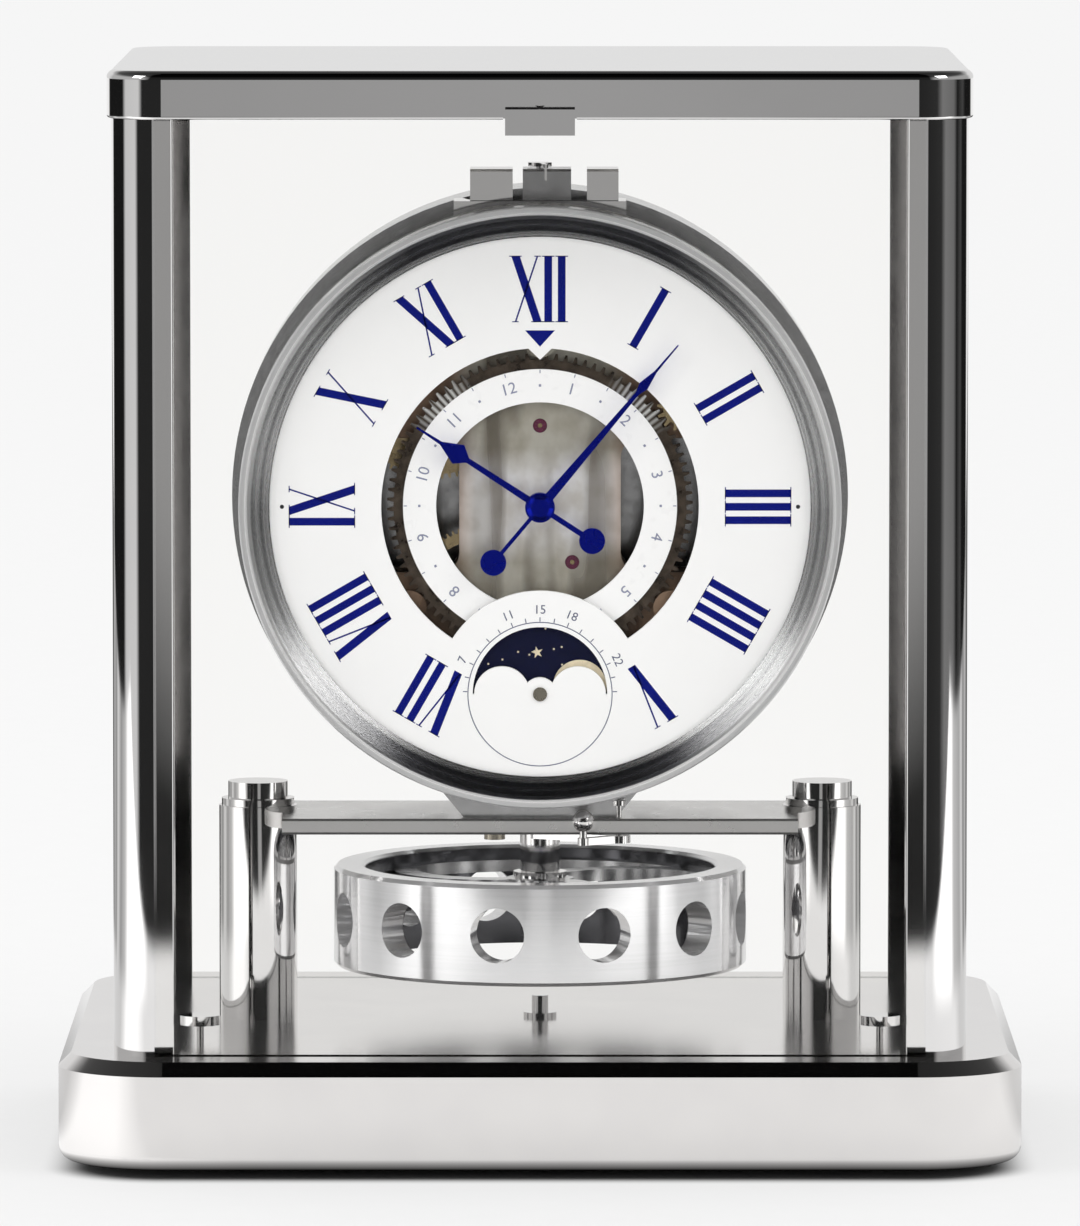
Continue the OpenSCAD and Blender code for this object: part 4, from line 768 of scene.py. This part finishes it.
def numeral_outlines(words, angle, dial):
    """Thick and thin strokes with serifs, for one numeral at a clock angle."""
    foot, head = dial.numeral_foot, dial.numeral_head
    thick, thin = dial.stroke, dial.hairline
    serif = 0.5 * MM
    outlines = []

    def stroke(u_foot, u_head, width):
        outlines.append([(u_foot - width / 2, foot), (u_foot + width / 2, foot),
                         (u_head + width / 2, head), (u_head - width / 2, head)])

    def serif_bar(u, v, width):
        outlines.append([(u - width / 2 - serif, v), (u + width / 2 + serif, v),
                         (u + width / 2 + serif, v + thin * 0.6),
                         (u - width / 2 - serif, v + thin * 0.6)])

    u = -sum(ADVANCE[letter] for letter in words) / 2
    for letter in words:
        mid = u + ADVANCE[letter] / 2
        if letter == "I":
            stroke(mid, mid, thick)
            serif_bar(mid, foot, thick)
            serif_bar(mid, head - thin * 0.6, thick)
        else:
            reach = ADVANCE[letter] / 2 - 0.8 * MM
            low = reach if letter == "X" else 0.25 * MM
            stroke(mid + low, mid - reach, thick * 1.1)
            stroke(mid - low, mid + reach, thin)
            serif_bar(mid - reach, head - thin * 0.6, thick)
            serif_bar(mid + reach, head - thin * 0.6, thin)
            if letter == "X":
                serif_bar(mid + reach, foot, thick)
                serif_bar(mid - reach, foot, thin)
        u += ADVANCE[letter]
    return [[at_clock(angle, *point) for point in outline] for outline in outlines]


class CLOCK_OT_dial_print(Operator):
    """Print the numerals, the dots and the marker on the dial"""

    bl_idname = "clock.dial_print"
    bl_label = "Dial Print"

    def execute(self, context):
        dial = context.scene.clock_dial
        ink = paint("numeral_ink", tuple(dial.ink), 0.45, 0.0, 0.85, gloss=0.06)
        outlines = []
        for hour, words in NUMERALS.items():
            outlines += numeral_outlines(words, 30 * hour, dial)
        outlines.append(DIAL_MARKER)
        mesh = print_mesh("hour_numerals", outlines, DIAL_FRONT, dial.print_height)
        add_mesh("hour_numerals", mesh, ink, "case")
        black = paint("dot_ink", (0.02, 0.02, 0.025), 0.35, 0.2, 0.8)
        marks("dial_dots", black, "case", "blued_steel", "disc", Count=2,
              Radius=DIAL_DOT_R, Start=radians(90), Step=math.pi, Width=DIAL_DOT_SIZE,
              Height=2 * dial.print_height, Place=(0, DIAL_FRONT, DIAL_Z))
        return {"FINISHED"}


class CLOCK_OT_month_marks(Operator):
    """Print the month numbers and ticks on the month ring"""

    bl_idname = "clock.month_marks"
    bl_label = "Month Marks"

    def execute(self, context):
        month = context.scene.clock_month
        ink = paint("month_ink", tuple(month.ink), 0.4, 0.1, 0.9)
        face = MONTH_LOW.y
        labels = [(30 * i + 15, str(i + 1)) for i in range(12)]
        mesh = digits_round("month_numbers", labels, MONTH_TRACK_R, month.number_size,
                            face - 0.02 * MM, DIAL_Z)
        add_mesh("month_numbers", mesh, ink, "month")
        for index, (count, radius, width, length) in enumerate((
                (12, MONTH_TRACK_R, 0.5 * MM, 0.5 * MM),
                (month.ticks, MONTH_EDGE_R, 0.2 * MM, 0.7 * MM))):
            marks(f"month_ticks_{index}", ink, "month", "blued_steel", "bar",
                  Count=count, Radius=radius, Start=0.0, Step=2 * math.pi / count,
                  Width=width, Length=length, Height=0.04 * MM,
                  Place=(0, face, DIAL_Z))
        return {"FINISHED"}


class CLOCK_OT_moon(Operator):
    """Paint the moon disc and print the scale round its window"""

    bl_idname = "clock.moon"
    bl_label = "Moon"

    def execute(self, context):
        moon = context.scene.clock_moon
        face = MOON_LOW.y
        gold = paint("moon_cream", tuple(moon.moon), 0.35, 0.2, 0.8, 600)
        outlines = []
        for half in (0, 180):
            x, z = at_clock(math.degrees(moon.age) + half, 0, moon.moon_at)
            outlines.append(circle_points(x, z, moon.moon_radius))
        mesh = print_mesh("painted_moons", outlines, face, PAINT_HEIGHT, MOON_Z)
        add_mesh("painted_moons", mesh, gold, "moon")
        points = []
        for i in range(10):
            x, z = at_clock(36 * i - 12, 0, STAR_WAIST if i % 2 else STAR_REACH)
            points.append((STAR_X + x, STAR_Z + z))
        star = print_mesh("painted_star", [points], face, PAINT_HEIGHT, MOON_Z)
        add_mesh("painted_star", star, gold, "moon")
        marks("painted_stars", gold, "moon", "moon_blue", "disc", Count=moon.stars,
              Radius=MOON_DISC_R * 0.93, Start=0.3, Step=2.4, Width=0.42 * MM,
              Height=0.04 * MM, Scatter=0.6, Seed=5, Place=(0, face, MOON_Z))
        scale = paint("scale_ink", (0.10, 0.11, 0.20), 0.4, 0.1, 0.9)
        dial = context.scene.clock_dial
        mesh = print_mesh("moon_circle", ring_outlines(*MOON_CIRCLE),
                          DIAL_FRONT, dial.print_height, MOON_Z)
        add_mesh("moon_circle", mesh, scale, "case")
        mesh = digits_round("moon_numbers", MOON_NUMBERS, MOON_NUMBER_R, 2.6 * MM,
                            DIAL_FRONT - dial.print_height, MOON_Z)
        add_mesh("moon_numbers", mesh, scale, "case")
        marks("moon_ticks", scale, "case", "blued_steel", "bar", Count=17,
              Radius=MOON_TICK_R, Start=radians(-88), Step=radians(11), Width=0.2 * MM,
              Length=0.9 * MM, Height=2 * dial.print_height,
              Place=(0, DIAL_FRONT, MOON_Z))
        return {"FINISHED"}


# Stage

def mixed(nodes, links, fac, a, b):
    """Two shaders mixed by a value."""
    node = nodes.new("ShaderNodeMixShader")
    links.new(fac, node.inputs["Fac"])
    links.new(a, node.inputs[1])
    links.new(b, node.inputs[2])
    return node.outputs[0]


# Brightness that polished metal sees at each angle off the camera's side of the
# clock, in degrees to its right: the backdrop, black cards, a bright soft box on
# the left, a dim room behind the camera and a weak soft box on the right
CARDS = [(-180, 0.95), (-142, 0.95), (-136, 0.01), (-88, 0.01), (-80, 0.62), (-50, 0.66),
         (-42, 0.02), (-6.5, 0.02), (-4.5, 0.32), (0, 0.36), (4.5, 0.32), (6.5, 0.02),
         (40, 0.03), (52, 0.2), (78, 0.16), (88, 0.01), (104, 0.06), (112, 0.01),
         (136, 0.01), (142, 0.95), (180, 0.95)]
# Share of that brightness at each height above the table, from sine 0 to 1
SKY = [(0.0, 1.0), (0.35, 1.0), (0.6, 0.15), (1.0, 0.06)]
# The same for what lies higher than the table, which level surfaces see
HIGH_CARDS = [(-180, 0.95), (-142, 0.95), (-125, 0.6), (-60, 0.6), (-36, 0.5),
              (-24, 0.02), (24, 0.02), (36, 0.45), (60, 0.45), (125, 0.5), (142, 0.95),
              (180, 0.95)]
# The same for the white table, close to the plinth and farther out: painted light that
# the paper shows to polished metal alone, in place of its own shading
NEAR_TABLE = [(-180, 0.85), (-110, 0.70), (-96, 0.68), (-86, 0.9), (-78, 1.2), (-50, 1.2),
              (-36, 0.88), (28, 0.88), (45, 0.9), (80, 0.94), (96, 0.70), (110, 0.70),
              (180, 0.85)]
FAR_TABLE = [(-180, 0.95), (-165, 0.95), (-160, 0.05), (-148, 0.12), (-138, 0.5),
             (-124, 0.3), (-113, 0.75), (-100, 0.35), (-84, 0.6), (-72, 1.5),
             (-38, 1.5), (-26, 0.95), (26, 0.95), (38, 1.5), (70, 1.5), (80, 0.6),
             (100, 0.45), (110, 0.75), (120, 0.25), (131, 0.55), (148, 0.12),
             (160, 0.05), (165, 0.95), (180, 0.95)]
TABLE_FRONT = 0.46
TABLE_SIDE = 1.1


def curve_of(nodes, links, source, points):
    """A curve of straight pieces through points with both values from 0 to 1."""
    node = nodes.new("ShaderNodeFloatCurve")
    curve = node.mapping.curves[0]
    for i, spot in enumerate(points):
        if i in (0, len(points) - 1):
            curve.points[0 if i == 0 else -1].location = spot
        else:
            curve.points.new(*spot)
    for point in curve.points:
        point.handle_type = "VECTOR"
    node.mapping.update()
    links.new(source, node.inputs["Value"])
    return node.outputs[0]


def blend_of(nodes, links, fac, a, b):
    """A value between two others."""
    node = nodes.new("ShaderNodeMix")
    links.new(fac, node.inputs["Factor"])
    links.new(a, node.inputs["A"])
    links.new(b, node.inputs["B"])
    return node.outputs["Result"]


def card_level(nodes, links, x, y, cards):
    """Brightness of the cards in the direction of x and y from the clock."""
    toward = maths(nodes, links, "MULTIPLY", y, -1.0)
    side = maths(nodes, links, "ARCTAN2", x, toward)
    turns = maths(nodes, links, "DIVIDE", side, 2 * math.pi)
    around = curve_of(nodes, links, maths(nodes, links, "ADD", turns, 0.5),
                      [(a / 360 + 0.5, v / 2) for a, v in cards])
    return maths(nodes, links, "MULTIPLY", around, 2.0)


def studio_world(stage):
    """A plain backdrop for the camera, soft light, and cards for polished metal."""
    world = bpy.data.worlds.new("studio")
    bpy.context.scene.world = world
    world.use_nodes = True
    nodes, links = world.node_tree.nodes, world.node_tree.links
    nodes.clear()
    out = nodes.new("ShaderNodeOutputWorld")
    rays = nodes.new("ShaderNodeLightPath")
    where = nodes.new("ShaderNodeTexCoord")
    split = nodes.new("ShaderNodeSeparateXYZ")
    links.new(where.outputs["Generated"], split.inputs[0])
    around = card_level(nodes, links, split.outputs["X"], split.outputs["Y"], HIGH_CARDS)
    height = maths(nodes, links, "MAXIMUM", split.outputs["Z"], 0.0)
    upward = curve_of(nodes, links, height, SKY)
    cards = nodes.new("ShaderNodeBackground")
    links.new(maths(nodes, links, "MULTIPLY", around, upward), cards.inputs["Strength"])
    plain = nodes.new("ShaderNodeBackground")
    plain.inputs["Color"].default_value = (1, 1, 1, 1)
    plain.inputs["Strength"].default_value = stage.backdrop
    fill = nodes.new("ShaderNodeBackground")
    fill.inputs["Color"].default_value = (1, 1, 1, 1)
    fill.inputs["Strength"].default_value = stage.fill
    shown = maths(nodes, links, "MAXIMUM", rays.outputs["Is Camera Ray"],
                  rays.outputs["Is Transmission Ray"])
    lit = mixed(nodes, links, rays.outputs["Is Diffuse Ray"], cards.outputs[0],
                fill.outputs[0])
    links.new(mixed(nodes, links, shown, lit, plain.outputs[0]), out.inputs["Surface"])


def smooth_step(nodes, links, source, start, end, low=0.0, high=1.0):
    """A soft step of a value from one level to another."""
    node = nodes.new("ShaderNodeMapRange")
    node.interpolation_type = "SMOOTHSTEP"
    for label, value in (("From Min", start), ("From Max", end), ("To Min", low),
                         ("To Max", high)):
        node.inputs[label].default_value = value
    links.new(source, node.inputs["Value"])
    return node.outputs["Result"]


def off_base(nodes, links, x, y, corner=0.022):
    """Distance on the table from the outline of the clock's base."""
    reach = []
    for source, axis in ((x, 0), (y, 1)):
        half = (PLINTH_HIGH[axis] - PLINTH_LOW[axis]) / 2
        past = maths(nodes, links, "SUBTRACT", maths(nodes, links, "ABSOLUTE", source),
                     half - corner)
        reach.append(maths(nodes, links, "MAXIMUM", past, 0.0))
    return maths(nodes, links, "SUBTRACT", length_of(nodes, links, *reach), corner)


def floor_material(stage):
    """Pale paper round the clock; to polished metal alone it glows with painted light of
    the table and painted shade near the clock, and shows the cards beyond its edge.
    """
    material, nodes, links, shader = new_material("pale_paper")
    grain = noise(nodes, links, 120)
    links.new(tint(nodes, links, grain, (0.285, 0.285, 0.285),
                   (0.29, 0.29, 0.29)), shader.inputs["Base Color"])
    links.new(ramp(nodes, links, grain, 0.9, 0.95),
              shader.inputs["Roughness"])
    shader.inputs["Specular IOR Level"].default_value = 0.0
    out = nodes["Material Output"]
    rays = nodes.new("ShaderNodeLightPath")
    place = object_place(nodes, links)
    x, y = place["X"], place["Y"]
    away = off_base(nodes, links, x, y)
    # Painted contact shadow: the glow that lifts the paper to white is left out under the
    # base
    glow = nodes.new("ShaderNodeEmission")
    links.new(smooth_step(nodes, links, away, -0.006, 0.004, 0.0, stage.floor_glow),
              glow.inputs["Strength"])
    paper = nodes.new("ShaderNodeAddShader")
    links.new(shader.outputs[0], paper.inputs[0])
    links.new(glow.outputs[0], paper.inputs[1])
    # For glossy rays the paper is a glow: painted light of the table round the clock, and
    # the cards past the table's edges
    cards = card_level(nodes, links, x, y, CARDS)
    nearby = card_level(nodes, links, x, y, NEAR_TABLE)
    farther = card_level(nodes, links, x, y, FAR_TABLE)
    distance = length_of(nodes, links, x, y)
    table = blend_of(nodes, links, smooth_step(nodes, links, distance, 0.36, 0.46),
                     nearby, farther)
    front = smooth_step(nodes, links, y, -TABLE_FRONT - 0.03, -TABLE_FRONT + 0.03)
    beside = smooth_step(nodes, links, maths(nodes, links, "ABSOLUTE", x),
                         TABLE_SIDE - 0.05, TABLE_SIDE + 0.05, 1.0, 0.0)
    lit = blend_of(nodes, links, maths(nodes, links, "MULTIPLY", front, beside),
                   cards, table)
    # Painted shade for polished metal: a contact shadow at the base and dimmer paper
    # close to the clock
    contact_shadow = smooth_step(nodes, links, away, -0.006, 0.01)
    painted_near_shade = smooth_step(nodes, links, distance, 0.09, 0.2, 0.86, 1.0)
    shade = maths(nodes, links, "MULTIPLY", painted_near_shade, contact_shadow)
    seen = nodes.new("ShaderNodeEmission")
    links.new(maths(nodes, links, "MULTIPLY", lit, shade), seen.inputs["Strength"])
    links.new(mixed(nodes, links, rays.outputs["Is Glossy Ray"], paper.outputs[0],
                    seen.outputs[0]), out.inputs["Surface"])
    return material


class CLOCK_OT_stage(Operator):
    """Lay the pale floor, set the lamps and place the camera"""

    bl_idname = "clock.stage"
    bl_label = "Stage"

    def execute(self, context):
        scene = context.scene
        stage = scene.clock_stage
        scene.view_settings.view_transform = "Standard"
        studio_world(stage)
        mesh = bpy.data.meshes.new("floor")
        mesh.from_pydata([(x * FLOOR_HALF, y * FLOOR_HALF, 0) for x, y in
                          ((-1, -1), (1, -1), (1, 1), (-1, 1))], [], [(0, 1, 2, 3)])
        floor = bpy.data.objects.new("floor", mesh)
        mesh.materials.append(floor_material(stage))
        scene.collection.objects.link(floor)
        for side in (-1, 1):
            lamp = bpy.data.lights.new("soft_box", "AREA")
            lamp.shape = "RECTANGLE"
            lamp.size, lamp.size_y = LAMP_SIZE
            lamp.energy = LAMP_POWER
            holder = bpy.data.objects.new("soft_box", lamp)
            holder.location = Vector((side * LAMP_X, LAMP_Y, LAMP_Z))
            aim = LAMP_AIM - holder.location
            holder.rotation_euler = aim.to_track_quat("-Z", "Y").to_euler()
            holder.visible_camera = False
            scene.collection.objects.link(holder)
        camera_data = bpy.data.cameras.new("camera")
        camera = bpy.data.objects.new("camera", camera_data)
        scene.collection.objects.link(camera)
        camera_data.sensor_fit = "VERTICAL"
        camera_data.sensor_height = SENSOR_H
        camera_data.lens = SENSOR_H * stage.focal_pixels / PICTURE_H
        camera_data.clip_end = 200
        camera.location = (0, -stage.camera_distance, stage.camera_height)
        camera.rotation_euler = (math.pi / 2 - stage.camera_tilt, 0, 0)
        scene.camera = camera
        return {"FINISHED"}


class CLOCK_PT_panel(Panel):
    """Clock pieces and settings"""

    bl_idname = "CLOCK_PT_panel"
    bl_label = "Moon Phase Clock"
    bl_space_type = "VIEW_3D"
    bl_region_type = "UI"
    bl_category = "Clock"

    def draw(self, context):
        layout = self.layout
        for settings in ("clock_dial", "clock_month", "clock_moon", "clock_stage"):
            group = getattr(context.scene, settings)
            box = layout.box()
            for key in group.__annotations__:
                box.prop(group, key)
        for operator in OPERATORS:
            layout.operator(operator.bl_idname)


OPERATORS = (CLOCK_OT_finishes, CLOCK_OT_dial_print, CLOCK_OT_month_marks,
             CLOCK_OT_moon, CLOCK_OT_stage)
GROUPS = {"clock_dial": ClockDialSettings, "clock_month": ClockMonthSettings,
          "clock_moon": ClockMoonSettings, "clock_stage": ClockStageSettings}


def register():
    for group in GROUPS.values():
        bpy.utils.register_class(group)
    for cls in (*OPERATORS, CLOCK_PT_panel):
        bpy.utils.register_class(cls)
    for name, group in GROUPS.items():
        setattr(bpy.types.Scene, name, PointerProperty(type=group))


def unregister():
    for name in GROUPS:
        delattr(bpy.types.Scene, name)
    for cls in (CLOCK_PT_panel, *OPERATORS, *GROUPS.values()):
        bpy.utils.unregister_class(cls)


def main():
    register()
    for operator in OPERATORS:
        group, name = operator.bl_idname.split(".")
        getattr(getattr(bpy.ops, group), name)()


if __name__ == "__main__":
    main()
